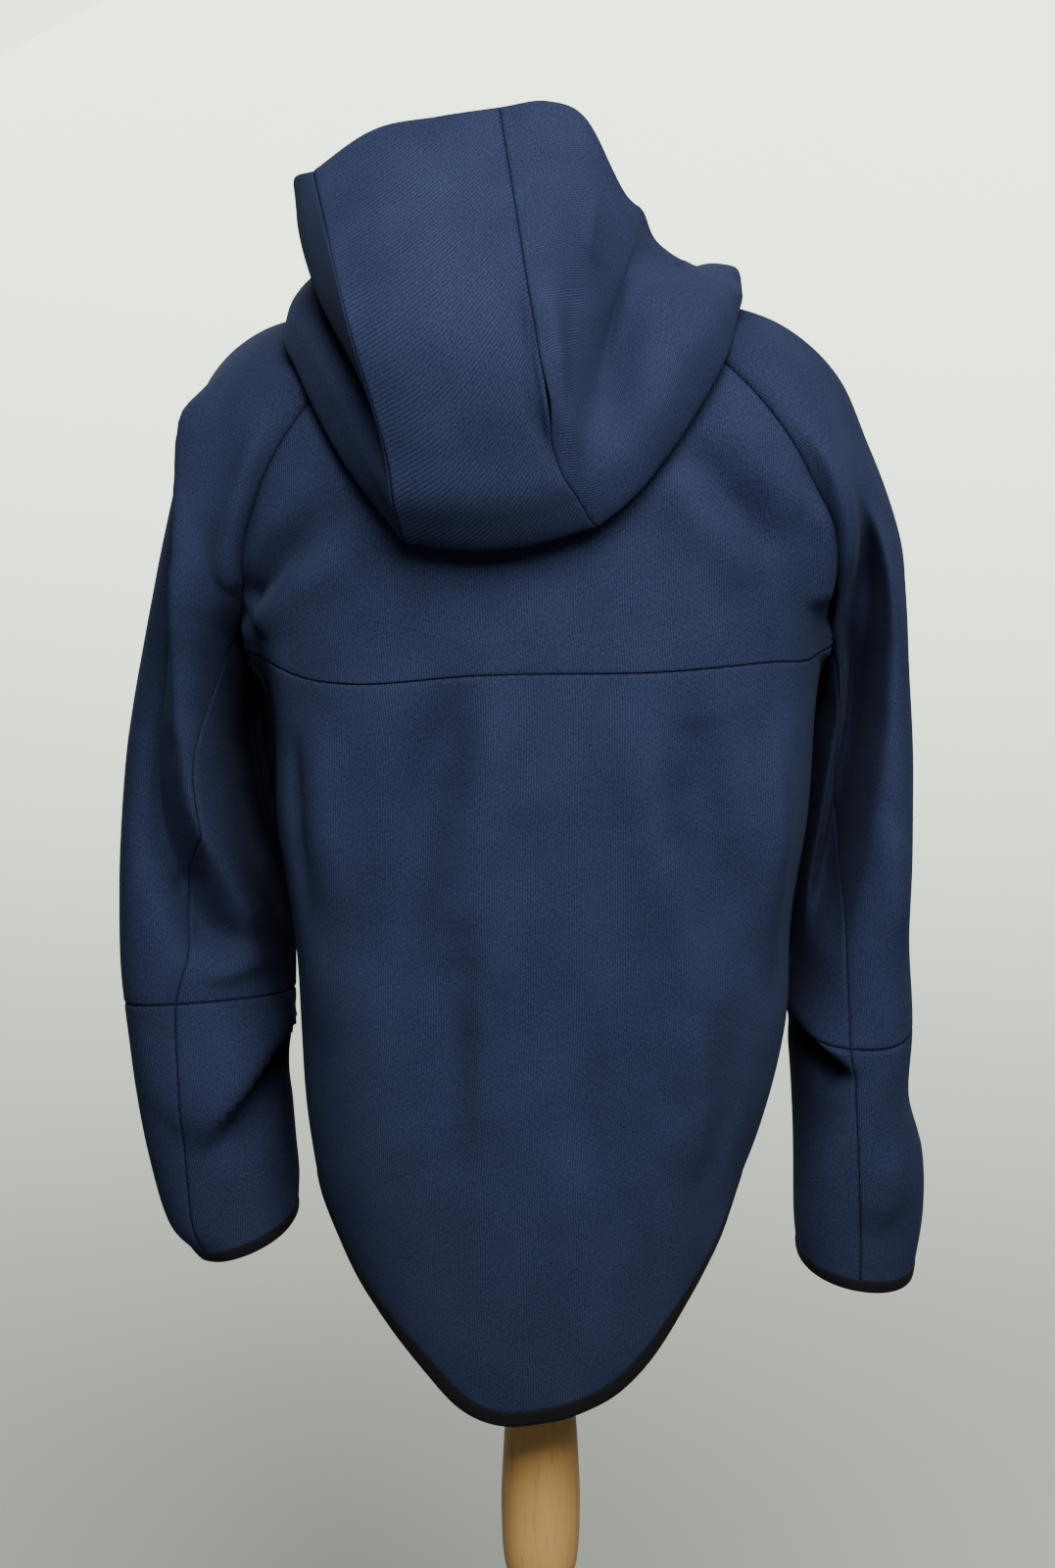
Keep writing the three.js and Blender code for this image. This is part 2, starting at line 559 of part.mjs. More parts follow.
// ---- Sleeve pieces ----
// Grid of a panel: the outer one goes from its back seam over the ridge to its front seam, and
// the under one from its front seam past the inner point to its back seam.
function sleeveGrid(sleeve, rows, count, outer) {
  return rows.map((row) => {
    const split = (list) => (row <= RAGLAN_END ? 0 : column(list, "split", row - RAGLAN_END));
    const behind = split(sleeve.tube);
    const before = split(FRONT_SPLIT.map((x) => ({ split: x })));
    const point = (sign) => (s) => sleevePoint(sleeve, row, sign, s);
    const half = (sign, from, to) => steps(count, from, to).map(point(sign));
    const line = outer
      ? [...half(1, behind, 1), ...half(-1, 1, before).slice(1)]
      : [...half(-1, before, 0), ...half(1, 0, behind).slice(1)];
    return sleeve.side > 0 ? line.reverse() : line;
  });
}
const SLEEVE_COLUMNS = { outer: 7, under: 4 }; // in each half of a panel
const UNDERARM_GAP = 0.15; // rows from the underarm to the under panel's narrow top
function sleevePanels(sleeve) {
  const elbow = RAGLAN_END + ELBOW;
  const cuff = RAGLAN_END + sleeve.tube.length - 1;
  const capRows = steps(ROWS.cap, 0, RAGLAN_END);
  const armRows = [RAGLAN_END + UNDERARM_GAP, ...steps(ROWS.arm, RAGLAN_END, elbow).slice(1)];
  const lowRows = steps(ROWS.fore, elbow, cuff);
  const make = (rows, key) =>
    shell(inset(sleeveGrid(sleeve, rows, SLEEVE_COLUMNS[key], key === "outer"), HALF_SEAM));
  return {
    upper: make([...capRows, ...armRows], "outer"),
    under: make(armRows, "under"),
    fore: make(lowRows, "outer"),
    foreUnder: make(lowRows, "under"),
  };
}

// ---- Neck seam: the body's top edges, as points by angle round the neck ----
function neckLine() {
  const line = [];
  const nearZip = 0.05;
  for (const u of steps(8, nearZip, 1)) line.push(frontPoint(1, u, 0));
  for (const s of steps(6)) line.push(sleevePoint(SLEEVES.left, 0, -1, s));
  for (const s of steps(6, 1, 0)) line.push(sleevePoint(SLEEVES.left, 0, 1, s));
  for (const u of steps(12, 1, -1)) {
    const drop = mix(NECK_DROP.back, RAGLAN_BACK[0].drop, u * u);
    line.push(bodyPoint(u * raglanBack(0).angle, drop));
  }
  for (const s of steps(6)) line.push(sleevePoint(SLEEVES.right, 0, 1, s));
  for (const s of steps(6, 1, 0)) line.push(sleevePoint(SLEEVES.right, 0, -1, s));
  for (const u of steps(8, 1, nearZip)) line.push(frontPoint(-1, u, 0));
  return line.map((p) => ({ p, angle: (Math.atan2(p[0], p[1]) * 180) / Math.PI }));
}
const NECK = neckLine();
function neckPoint(angle) {
  let i = 0;
  while (i < NECK.length - 2 && NECK[i + 1].angle > angle) i++;
  const [a, b] = [NECK[i], NECK[i + 1]];
  const t = (angle - a.angle) / (b.angle - a.angle || 1e-9);
  return mix(a.p, b.p, Math.max(0, Math.min(1, t)));
}

// ---- Hood ----
const HOOD_KEYS = ["foot", "rise", "under", "low", "belly", "crease", "crown", "edge"];
const hoodFoot = (neck) => add(neckPoint(neck), [0, 0, NECK_GAP]);
const hoodStations = HOOD.map((row) => {
  const place = ([x, y, drop]) => [x, y, SHOULDER - drop];
  const foot = hoodFoot(row.neck);
  const edge = place(row.edge);
  if (!row.low) return HOOD_KNOTS.map((k) => mix(foot, edge, k));
  const low = place(row.low);
  const outward = unit([Math.sin(rad(row.neck)), Math.cos(rad(row.neck)), 0]);
  const rise = add(add(foot, outward, HOOD_RISE.out), [0, 0, HOOD_RISE.up]);
  const [x, y, z] = mix(foot, low, HOOD_LIFT.at);
  const [half, , back] = bodySection(SHOULDER - z);
  const away = unit([x / half ** 2, y / back ** 2, 0]);
  const under = add([x, y, z + HOOD_LIFT.up], away, HOOD_LIFT.out);
  return [foot, rise, under, low, place(row.belly), place(row.crease), place(row.crown), edge];
});
const stationKnots = hoodStations.map((_, i) => i);
const stationOf = (name) => HOOD.findIndex((row) => row.name === name);
const hoodCorners = [stationOf("seam left"), stationOf("seam right")];
const hoodLines = HOOD_KEYS.map((_, k) => {
  const points = hoodStations.map((s) => s[k]);
  return through(points, stationKnots, hoodCorners);
});
const hoodNeck = through(HOOD.map((row) => [row.neck]), stationKnots);
hoodLines[0] = (station) => hoodFoot(hoodNeck(station)[0]);
function hoodPoint(station, v) {
  return through(hoodLines.map((line) => line(station)), HOOD_KNOTS)(v);
}
// Rows of a hood panel's mesh, closer together where the cloth bends
const HOOD_ROWS = [
  0, 0.035, 0.07, 0.16, 0.25, 0.33, 0.37, 0.4, 0.435, 0.47, 0.53, 0.6, 0.7, 0.8, 0.9, 1,
];
const HOOD_BEVEL = 2.4; // more than on other pieces, because its seams turn sharper

function hoodPanel(from, to, perStation) {
  const [a, b] = [stationOf(from), stationOf(to)];
  const stations = steps((b - a) * perStation, b, a);
  const grid = HOOD_ROWS.map((v) => stations.map((s) => hoodPoint(s, v)));
  return shell(inset(grid, HALF_SEAM), { bevel: HOOD_BEVEL });
}

// ---- Bindings: a soft oval band that carries on from the cloth's edge ----
const OVAL = [0, 60, 120, 180, 240, 300].map((deg) => [Math.sin(rad(deg)), Math.cos(rad(deg))]);
function binding(edge, above, wide, loop) {
  const n = edge.length;
  const near = (i) => (loop ? edge[(i + n) % n] : edge[Math.max(0, Math.min(n - 1, i))]);
  return bar(edge.map((p, i) => {
    const along = unit(sub(near(i + 1), near(i - 1)));
    const rough = sub(p, above[i]);
    const out = unit(cross(along, rough));
    const down = unit(cross(out, along));
    const centre = add(add(p, down, wide / 2 + SEAM), out, -CLOTH / 2);
    return OVAL.map(([a, b]) => add(add(centre, out, (a * BINDING.thick) / 2), down, (b * wide) / 2));
  }), loop);
}
// The cloth's edge, and the line above it that shows which way the cloth comes down
const HEM_LIFT = 6; // mm
const FRONT_LENGTH = 390; // of a front from the underarm to the hem
const CUFF_LIFT = 0.2; // rows
function hemLine(lift) {
  const row = FRONT_END - lift / FRONT_LENGTH;
  const front = (sign) => steps(ROWS.across / 2).map((u) => frontPoint(sign, u, row));
  const inside = steps(ROWS.across, 1, -1).slice(1, -1);
  const back = inside.map((u) => bodyPoint(u * rad(90), hemDrop(u * 90) - lift));
  return [...front(1), ...back, ...front(-1).reverse()];
}
const hemBinding = () => binding(hemLine(0), hemLine(HEM_LIFT), BINDING.wide, false);
function cuffBinding(sleeve) {
  const last = RAGLAN_END + sleeve.tube.length - 1;
  const line = (row) => ["outer", "under"].flatMap((key) =>
    sleeveGrid(sleeve, [row], SLEEVE_COLUMNS[key], key === "outer")[0].slice(1));
  return binding(line(last), line(last - CUFF_LIFT), BINDING.cuff, true);
}

// ---- Zip: the line of the fronts' outer face at a distance from the centre ----
const ZIP_STOPS = [...steps(12, 634, 92), NECK_DROP.front, ...steps(5, 78, 14)];
const ZIP_STEP = 3; // the least between two stops
function zipFace(x, drop) {
  const { back, front } = NECK_DROP;
  if (drop > front) {
    const section = bodySection(drop);
    const angle = Math.asin(Math.abs(x) / (section[0] * ZIP_SPREAD));
    return [x, sectionPoint(section, Math.PI - angle, drop)[1], SHOULDER - drop];
  }
  const top = HOOD[0].edge[2];
  const station = Math.max(0, (Math.abs(x) - ZIP_HALF) / (HOOD[1].edge[0] - ZIP_HALF));
  const p = hoodPoint(station, (front - drop) / (front - top));
  return [x, p[1], SHOULDER - drop];
}
const inward = (p, d) => [p[0], p[1] + d, p[2]];
function zipStrip(x0, x1, depth, thick, from, to) {
  const stops = ZIP_STOPS.filter((drop) => drop < from - ZIP_STEP && drop > to + ZIP_STEP);
  return bar([from, ...stops, to].map((drop) => {
    const [a, b] = [zipFace(x0, drop), zipFace(x1, drop)];
    return [inward(a, depth), inward(b, depth), inward(b, depth + thick), inward(a, depth + thick)];
  }));
}

// The lower and the upper solid of a strip that ends at drop `top`
function zipHalves(x0, x1, depth, thick, top) {
  const { bottom, cut } = ZIP_END;
  return {
    lower: zipStrip(x0, x1, depth, thick, bottom, cut + HALF_SEAM),
    upper: zipStrip(x0, x1, depth, thick, cut - HALF_SEAM, top),
  };
}
function zipTape(sign) {
  const { tapeFrom, tapeTo, tapeThick, clear } = ZIP;
  return zipHalves(sign * tapeFrom, sign * tapeTo, CLOTH + clear, tapeThick, ZIP_END.top);
}
function zipChain() {
  const { chain, thick, tapeThick, clear } = ZIP;
  const depth = CLOTH + clear + (tapeThick - thick) / 2;
  return zipHalves(-chain / 2, chain / 2, depth, thick, SLIDER_DROP + SLIDER.tall / 2 + ZIP_END.gap);
}

// ---- Slider with its bar, and the pull that swings on the bar ----
const wasm = await Module();
wasm.setup();
function manifold(geometry) {
  const plain = geometry.clone();
  plain.deleteAttribute("normal");
  plain.deleteAttribute("uv");
  const merged = mergeVertices(plain, 1e-4);
  return new wasm.Manifold(new wasm.Mesh({
    numProp: 3,
    vertProperties: new Float32Array(merged.attributes.position.array),
    triVerts: new Uint32Array(merged.index.array),
  }));
}
function geometryOf(made) {
  const mesh = made.getMesh();
  return new THREE.BufferGeometry()
    .setAttribute("position", new THREE.BufferAttribute(new Float32Array(mesh.vertProperties), 3))
    .setIndex(new THREE.BufferAttribute(new Uint32Array(mesh.triVerts), 1));
}
const box = ([x, y, z], centre) => manifold(new THREE.BoxGeometry(x, y, z).translate(...centre));
function rod(r, length, sides) {
  return manifold(new THREE.CylinderGeometry(r, r, length, sides).rotateZ(Math.PI / 2));
}

// Both are built round the bar's axis, which lies along X at the origin.
function slider() {
  const { wide, tall, deep, lug, cheek, cheekTall, cheekAt, root: sunkIn } = SLIDER;
  const body = box([wide, deep, tall], [0, lug + deep / 2, 0]);
  const side = (x) => box([cheek, lug + sunkIn, cheekTall], [x, lug / 2, 0]);
  const pin = rod(SLIDER.bar, SLIDER.barLong, SIDES.bar);
  return geometryOf(body.add(side(cheekAt)).add(side(-cheekAt)).add(pin));
}
function pullTab() {
  const { wide, tall, thick, eye, hole, neck, neckTall, head } = PULL;
  const ring = rod(eye, neck, SIDES.eye);
  const stem = box([neck, thick, neckTall], [0, 0, -(eye + neckTall / 4)]);
  const plate = box([wide, thick, tall - head], [0, 0, -(head + tall) / 2]);
  return geometryOf(ring.add(stem).add(plate).subtract(rod(hole, neck + 1, SIDES.eye)));
}
const SLIDER_DROP = HOOD[0].edge[2] + ZIP.sliderAt;
const SLIDER_AXIS = inward(zipFace(0, SLIDER_DROP), SLIDER.sunk - SLIDER.lug);

// ---- Dress form and stand ----
function form() {
  const angles = steps(SIDES.form, 0, 2 * Math.PI).slice(1);
  return bar(FORM.map(({ drop, half, off, back, front }) =>
    angles.map((angle) => sectionPoint([half, off, back, front], angle, drop))));
}

// A round piece from its profile, top to bottom or bottom to top
function turned(profile, sides) {
  const ends = [profile[0], profile[profile.length - 1]].map(({ z }) => ({ r: 0, z }));
  const points = [ends[0], ...profile, ends[1]].map(({ r, z }) => new THREE.Vector2(r, z));
  const lathe = new THREE.LatheGeometry(points, sides).rotateX(Math.PI / 2);
  lathe.deleteAttribute("normal");
  lathe.deleteAttribute("uv");
  const merged = mergeVertices(lathe, 1e-4);
  const p = merged.attributes.position;
  const vertices = Array.from({ length: p.count }, (_, i) => [p.getX(i), p.getY(i), p.getZ(i)]);
  return solid(vertices, withArea(merged.index.array));
}

// The triangles with three different corners: those at a lathe's poles have only two
function withArea(index) {
  const out = [];
  for (let i = 0; i < index.length; i += 3) {
    const corners = [index[i], index[i + 1], index[i + 2]];
    if (new Set(corners).size === 3) out.push(...corners);
  }
  return out;
}
function base() {
  const { radius, foot, edge, round, collar, top } = BASE;
  return turned([
    { r: radius - foot, z: 0 },
    { r: radius, z: foot },
    { r: radius, z: edge },
    { r: radius - round, z: edge + round },
    { r: collar, z: top },
  ], SIDES.base);
}

// ---- The scene ----
const material = (color, roughness, metalness = 0) =>
  new THREE.MeshStandardMaterial({ color, roughness, metalness, flatShading: false });
const FLEECE = 0x2b3858;
const TRIM = 0x15161c;
const METAL = 0x8b8f96;
const JERSEY = 0xe4dccb;
const BEECH = 0xc6924f;

const root = new THREE.Group();
root.name = "hooded_sweatshirt_on_form";
function addPiece(name, geometry, look, at = [0, 0, 0]) {
  const mesh = new THREE.Mesh(geometry, look);
  mesh.name = name;
  mesh.position.set(...at);
  root.add(mesh);
}
addPiece("back_yoke", yoke(), material(FLEECE, 0.9));
addPiece("back_lower", backLower(), material(FLEECE, 0.9));
addPiece("front_left", front(1), material(FLEECE, 0.9));
addPiece("front_right", front(-1), material(FLEECE, 0.9));
for (const [name, sleeve] of Object.entries(SLEEVES)) {
  const panels = sleevePanels(sleeve);
  addPiece(`sleeve_${name}_upper`, panels.upper, material(FLEECE, 0.9));
  addPiece(`sleeve_${name}_under`, panels.under, material(FLEECE, 0.9));
  addPiece(`forearm_${name}_outer`, panels.fore, material(FLEECE, 0.9));
  addPiece(`forearm_${name}_under`, panels.foreUnder, material(FLEECE, 0.9));
  addPiece(`cuff_${name}_binding`, cuffBinding(sleeve), material(TRIM, 0.8));
}
addPiece("hood_left", hoodPanel("zip left", "seam left", 2), material(FLEECE, 0.9));
addPiece("hood_centre", hoodPanel("seam left", "seam right", 3), material(FLEECE, 0.9));
addPiece("hood_right", hoodPanel("seam right", "zip right", 2), material(FLEECE, 0.9));
addPiece("hem_binding", hemBinding(), material(TRIM, 0.8));
const ZIP_STRIPS = [
  ["zip_tape_left", zipTape(1), material(TRIM, 0.8)],
  ["zip_tape_right", zipTape(-1), material(TRIM, 0.8)],
  ["zip_chain", zipChain(), material(TRIM, 0.4)],
];
for (const [name, halves, look] of ZIP_STRIPS) {
  addPiece(`${name}_upper`, halves.upper, look);
  addPiece(`${name}_lower`, halves.lower, look);
}
addPiece("zip_slider", slider(), material(METAL, 0.35, 1), SLIDER_AXIS);
addPiece("zip_pull", pullTab(), material(METAL, 0.35, 1), SLIDER_AXIS);
addPiece("form_torso", form(), material(JERSEY, 0.85));
addPiece("stand_post", turned(POST, SIDES.post), material(BEECH, 0.45));
addPiece("stand_base", base(), material(BEECH, 0.45));

export default root;
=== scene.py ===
import math
from collections import namedtuple
from functools import reduce

import bmesh
import bpy
import numpy as np
from mathutils import Matrix, Vector
from mathutils.kdtree import KDTree


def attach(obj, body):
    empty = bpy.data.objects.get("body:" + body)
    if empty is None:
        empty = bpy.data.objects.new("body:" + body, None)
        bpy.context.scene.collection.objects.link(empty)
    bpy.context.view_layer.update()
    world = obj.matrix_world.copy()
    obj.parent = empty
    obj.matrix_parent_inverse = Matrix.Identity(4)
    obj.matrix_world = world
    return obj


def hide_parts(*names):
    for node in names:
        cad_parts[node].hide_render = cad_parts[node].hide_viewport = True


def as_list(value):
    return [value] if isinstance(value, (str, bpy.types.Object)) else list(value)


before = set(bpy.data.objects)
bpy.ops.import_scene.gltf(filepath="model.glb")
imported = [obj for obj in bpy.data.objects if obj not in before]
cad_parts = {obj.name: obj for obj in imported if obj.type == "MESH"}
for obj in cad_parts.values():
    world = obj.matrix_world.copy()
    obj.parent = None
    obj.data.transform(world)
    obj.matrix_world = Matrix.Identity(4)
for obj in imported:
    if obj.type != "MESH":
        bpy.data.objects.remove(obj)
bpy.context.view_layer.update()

MM = 0.001
CM2 = 1e-4
BODY_NAME = "hoodie_on_form"
PULL_NAME = "pull"

# ---- Sizes shared with the CAD model ----
SHOULDER = 1300         # floor to the high point of the shoulder
CLOTH = 3.0             # wall of the fleece
SEAM = 0.3              # clearance between two pieces sewn to each other
ZIP_HALF = 4            # from the centre line to the edge of a front
ZIP_SPREAD = 1.15       # how much faster than a circle a section widens next to the zip
UNDERARM = 217          # drop of the underarm point
NECK_GAP = 1            # between the hood and the neck edge of the body
HOOD_RISE = {"out": 12, "up": 20}               # the hood first stands up from the neck by this
HOOD_LIFT = {"at": 0.58, "out": 18, "up": 20}   # how far its underside bows off the shoulders
HOOD_TOP = 12           # drop of the zip's upper end
SQUARENESS = 0.05       # how far a section is from an ellipse towards a rounded box
SKEW = 0.38             # how far a sleeve's section leans with its run from inside to outside
ELBOW = 6               # rows from the underarm to the elbow seam

# ---- Sizes of the cloth's finish ----
STEP = 4.5                          # of the cloth's mesh
EDGE_STEPS = [0.8, 1.8, 3.0, 4.6]   # from each seam, where the cloth turns in
ROLL = {"deep": 1.5, "over": 3.6}   # how far and over what width it turns in
ROUTE_STEP = 6.0                    # between points along a fold
PUSH_FACING = 0.35                  # a push fades out where the cloth turns sideways
ZIP_KEEP = {"flat": 18, "over": 26, "low": 600}   # the cloth lies flat beside the zip
MEET = 3.2                          # how near two panels' edge points are where they are sewn
TURN_OVER = 9.0                     # over what width the normal turns towards such a neighbour
RELAX = {"off_seam": 30, "rows": 0.6, "times": 60}  # the sleeves' smoothing near the underarm
# Slight unevenness of the cloth: wavelength, height and direction of each wave
RIPPLES = [(210, 0.7, 0.4), (143, 0.5, 1.9), (96, 0.35, 3.1), (67, 0.2, 4.4), (118, 0.4, 5.2)]


# ---- Curves and tables ----
def through(knots, corners=()):
    """The weights of a smooth curve through points at rising knots, which may turn sharply at
    corners: weights(at) @ points gives the curve's points."""
    knots = np.asarray(knots, float)
    last = len(knots) - 1
    unit_rows = np.eye(last + 1)
    gap = np.maximum(np.diff(knots), 1e-9)
    chord = (unit_rows[1:] - unit_rows[:-1]) / gap[:, None]
    leave, arrive = np.zeros_like(unit_rows), np.zeros_like(unit_rows)
    for i in range(last + 1):
        if 0 < i < last:
            smooth = (chord[i - 1] * gap[i] + chord[i] * gap[i - 1]) / (gap[i] + gap[i - 1])
        sharp = i in corners
        leave[i] = chord[min(i, last - 1)] if i in (0, last) or sharp else smooth
        arrive[i] = chord[max(i - 1, 0)] if i in (0, last) or sharp else smooth

    def weights(at):
        at = np.asarray(at, float)
        i = np.searchsorted(knots[1:-1], at, side="left")
        h = gap[i][..., None]
        t = np.clip((at - knots[i])[..., None] / h, 0, 1)
        return ((2 * t**3 - 3 * t**2 + 1) * unit_rows[i] + (t**3 - 2 * t**2 + t) * h * leave[i]
                + (3 * t**2 - 2 * t**3) * unit_rows[i + 1] + (t**3 - t**2) * h * arrive[i + 1])
    return weights


class Table:
    """Rows of numbers under named columns, smooth in between."""

    def __init__(self, names, rows):
        self.names = names.split()
        self.rows = np.array(rows, float)

    def __len__(self):
        return len(self.rows)

    def get(self, *names):
        return self.rows[:, [self.names.index(n) for n in names]]

    def by(self, key, *names):
        """The named columns as a smooth function of column key."""
        order = np.argsort(self.get(key)[:, 0], kind="stable")
        weights = through(self.get(key)[order, 0])
        values = self.get(*names)[order]
        return lambda at: weights(at) @ values

    def at(self, *names):
        """The named columns as a smooth function of a fractional row number."""
        weights = through(np.arange(len(self)))
        return lambda row: weights(row) @ self.get(*names)


def bezier(a, ha, b, hb, t):
    p, q = a + ha, b + hb
    return (1 - t)**3 * a + 3 * t * (1 - t)**2 * p + 3 * t * t * (1 - t) * q + t**3 * b


def unit(v):
    return v / np.maximum(np.linalg.norm(v, axis=-1, keepdims=True), 1e-9)


def mix(a, b, t):
    return a + (b - a) * t


def ramp(t):
    """A smooth step from 0 to 1."""
    t = np.clip(t, 0, 1)
    return t * t * (3 - 2 * t)


def run(line):
    """How far along a line each of its points is."""
    return np.concatenate([[0], np.cumsum(np.linalg.norm(np.diff(line, axis=0), axis=1))])


BODY = Table("drop half off back front", [
    (-14, 150, 0, 68, 50), (10, 176, 1, 86, 64), (38, 206, 2, 105, 80), (70, 222, 3, 121, 96),
    (100, 228, 3, 128, 108), (150, 226, 3, 131, 122), (UNDERARM, 205, 3, 129, 127),
    (259, 193, -1, 127, 127), (363, 184, -1, 121, 124), (427, 174, -1, 117, 121),
    (494, 170, -1, 112, 118), (570, 157, 5, 106, 113), (608, 146, 8, 102, 110),
    (640, 136, 7, 98, 106), (665, 127, 7, 95, 102), (690, 117, 6, 92, 98),
    (720, 107, 4, 87, 93), (770, 96, 4, 76, 82),
])
HEM = Table("angle left right", [
    (0, 751, 751), (8, 753, 748), (16, 750, 742), (24, 741, 734), (33, 722, 719), (42, 701, 700),
    (50, 681, 680), (58, 660, 660), (66, 638, 640), (75, 616, 617), (90, 598, 598),
    (115, 603, 603), (145, 620, 620), (180, 634, 634),
])
YOKE_SEAM = Table("at drop", [
    (-1, UNDERARM), (-0.72, 243), (-0.5, 247), (-0.2, 255), (0.1, 257), (0.4, 262),
    (0.55, 257), (0.8, 236), (1, UNDERARM),
])
RAGLAN_BACK = Table("drop side", [
    (8, 72), (38, 112), (72, 148), (115, 178), (165, 197), (UNDERARM, 205),
])
RAGLAN_FRONT = Table("drop side", [
    (34, 86), (62, 112), (92, 142), (130, 172), (172, 195), (UNDERARM, 205),
])
NECK_DROP = {"back": 11, "front": 85}
# A sleeve's cap is its ridge from the neck to the shoulder: where it is, which way the cloth leaves
# the seam, and how far before or behind the ridge its curve is aimed
CAP_COLUMNS = "x y drop out along up over"
# Its tube runs from the underarm to the cuff: the inner and the outer point of a section, how deep
# it is behind and before, how far its back sags, and where the under panel's seam lies
TUBE_COLUMNS = "xi yi di xo yo do back front sag split"
LEFT_CAP = Table(CAP_COLUMNS, [
    (93, 0, -9, 5, 0, 10, 42), (150, 0, -1, 12, 3, 18, 48), (196, -2, 12, 18, 8, 26, 56),
    (229, -5, 40, 20, 18, 26, 66), (249, -8, 88, 12, 48, 14, 80),
])
LEFT_TUBE = Table(TUBE_COLUMNS, [
    (208, 2, 217, 264, -10, 149, 76, 76, 0, 0.02),
    (209, -12, 234, 273, -9, 191, 74, 76, 0, 0.18),
    (198, -36, 264, 281, -8, 236, 70, 74, 0, 0.34),
    (189, -46, 312, 292, -6, 305, 62, 66, 0, 0.48),
    (184, -48, 370, 296, -8, 370, 55, 60, 0, 0.47),
    (178, -44, 432, 297, -12, 436, 50, 54, 2, 0.5),
    (177, -38, 474, 295, -16, 482, 46, 52, 4, 0.59),
    (177, -38, 525, 290, -22, 534, 44, 48, 8, 0.61),
    (175, -36, 575, 281, -30, 590, 40, 44, 12, 0.64),
    (173, -42, 606, 267, -38, 638, 36, 40, 16, 0.7),
    (174, -46, 629, 251, -44, 656, 34, 36, 20, 0.74),
])
RIGHT_CAP = Table(CAP_COLUMNS, [
    (91, 0, -9, 5, 0, 10, 42), (139, 0, -4, 12, 3, 18, 48), (177, -2, 12, 16, 8, 26, 56),
    (210, -5, 43, 16, 18, 24, 66), (230, -8, 89, 10, 48, 14, 80),
])
RIGHT_TUBE = Table(TUBE_COLUMNS, [
    (202, 2, 217, 252, -10, 144, 74, 76, 0, 0.02),
    (205, -12, 234, 256, -9, 188, 72, 76, 0, 0.14),
    (197, -36, 266, 259, -8, 236, 68, 74, 0, 0.22),
    (188, -46, 312, 261, -8, 305, 64, 70, 2, 0.29),
    (183, -48, 370, 261, -10, 370, 60, 64, 8, 0.35),
    (178, -44, 436, 261, -14, 434, 56, 60, 20, 0.4),
    (177, -38, 486, 264, -18, 494, 52, 56, 30, 0.45),
    (180, -38, 538, 263, -26, 546, 48, 52, 28, 0.48),
    (182, -34, 592, 275, -34, 588, 44, 48, 24, 0.46),
    (183, -40, 634, 277, -42, 628, 40, 44, 24, 0.47),
    (185, -45, 656, 270, -46, 670, 36, 38, 24, 0.49),
])
SLEEVES = {"left": {"side": 1, "cap": LEFT_CAP, "tube": LEFT_TUBE},
           "right": {"side": -1, "cap": RIGHT_CAP, "tube": RIGHT_TUBE}}
FRONT_SPLIT = Table("split", [
    (0.02,), (0.12,), (0.2,), (0.3,), (0.33,), (0.34,), (0.36,), (0.36,), (0.36,), (0.37,), (0.38,),
])

# Hood: station, its foot on the neck seam, and [x, y, drop] of each point up the cloth.
HOOD = [
    ("zip left", 177.8, (4, -108, 12)),
    ("front left", 152, (60, -97, 2)),
    ("cheek left", 124, (104, -58, -22)),
    ("side left", 102, (140, -8, -22), (146, -8, -28), (145, -8, -34), (140, -8, -40), (132, -8, -45)),
    ("roll left", 84, (171, 80, 23), (169, 76, 6), (147, 68, -20), (156, 50, -46), (155, 36, -57)),
    ("band left", 68, (161, 110, 56), (152, 122, 42), (130, 112, 20), (159, 98, -36), (165, 76, -70)),
    ("corner left", 54, (127, 134, 121), (121, 150, 108), (112, 152, 82), (145, 142, 12), (165, 96, -77)),
    ("seam left", 40, (89, 145, 171), (94, 166, 156), (99, 180, 122), (126, 188, 28), (151, 112, -77)),
    ("centre left", 13, (45, 150, 177), (54, 172, 160), (64, 188, 126), (86, 199, 30), (110, 121, -103)),
    ("centre right", -13, (5, 150, 175), (13, 172, 158), (24, 188, 124), (45, 199, 28), (68, 124, -111)),
    ("seam right", -40, (-37, 148, 163), (-24, 166, 147), (-9, 181, 121), (6, 190, 30), (28, 120, -118)),
    ("lobe right", -46, (-45, 147, 156), (-32, 165, 139), (-18, 176, 108), (-14, 170, -2), (-4, 118, -123)),
    ("ridge right", -53, (-53, 146, 149), (-40, 162, 132), (-26, 166, 92), (-36, 142, -36), (-31, 110, -113)),
    ("valley right", -64, (-71, 142, 128), (-60, 156, 110), (-40, 142, 66), (-58, 118, -30), (-57, 98, -68)),
    ("band right", -76, (-100, 133, 83), (-91, 146, 58), (-62, 128, 14), (-67, 100, -36), (-70, 82, -58)),
    ("roll right", -90, (-124, 108, 38), (-119, 116, 18), (-90, 98, -12), (-80, 74, -34), (-79, 56, -44)),
    ("side right", -106, (-134, 36, -12), (-135, 42, -15), (-121, 38, -20), (-110, 26, -25), (-101, 14, -30)),
    ("cheek right", -128, (-102, -56, -24)),
    ("front right", -152, (-60, -97, 2)),
    ("zip right", -177.8, (-4, -108, 12)),
]
HOOD_KNOTS = [0, 0.07, 0.25, 0.4, 0.47, 0.6, 0.8, 1]

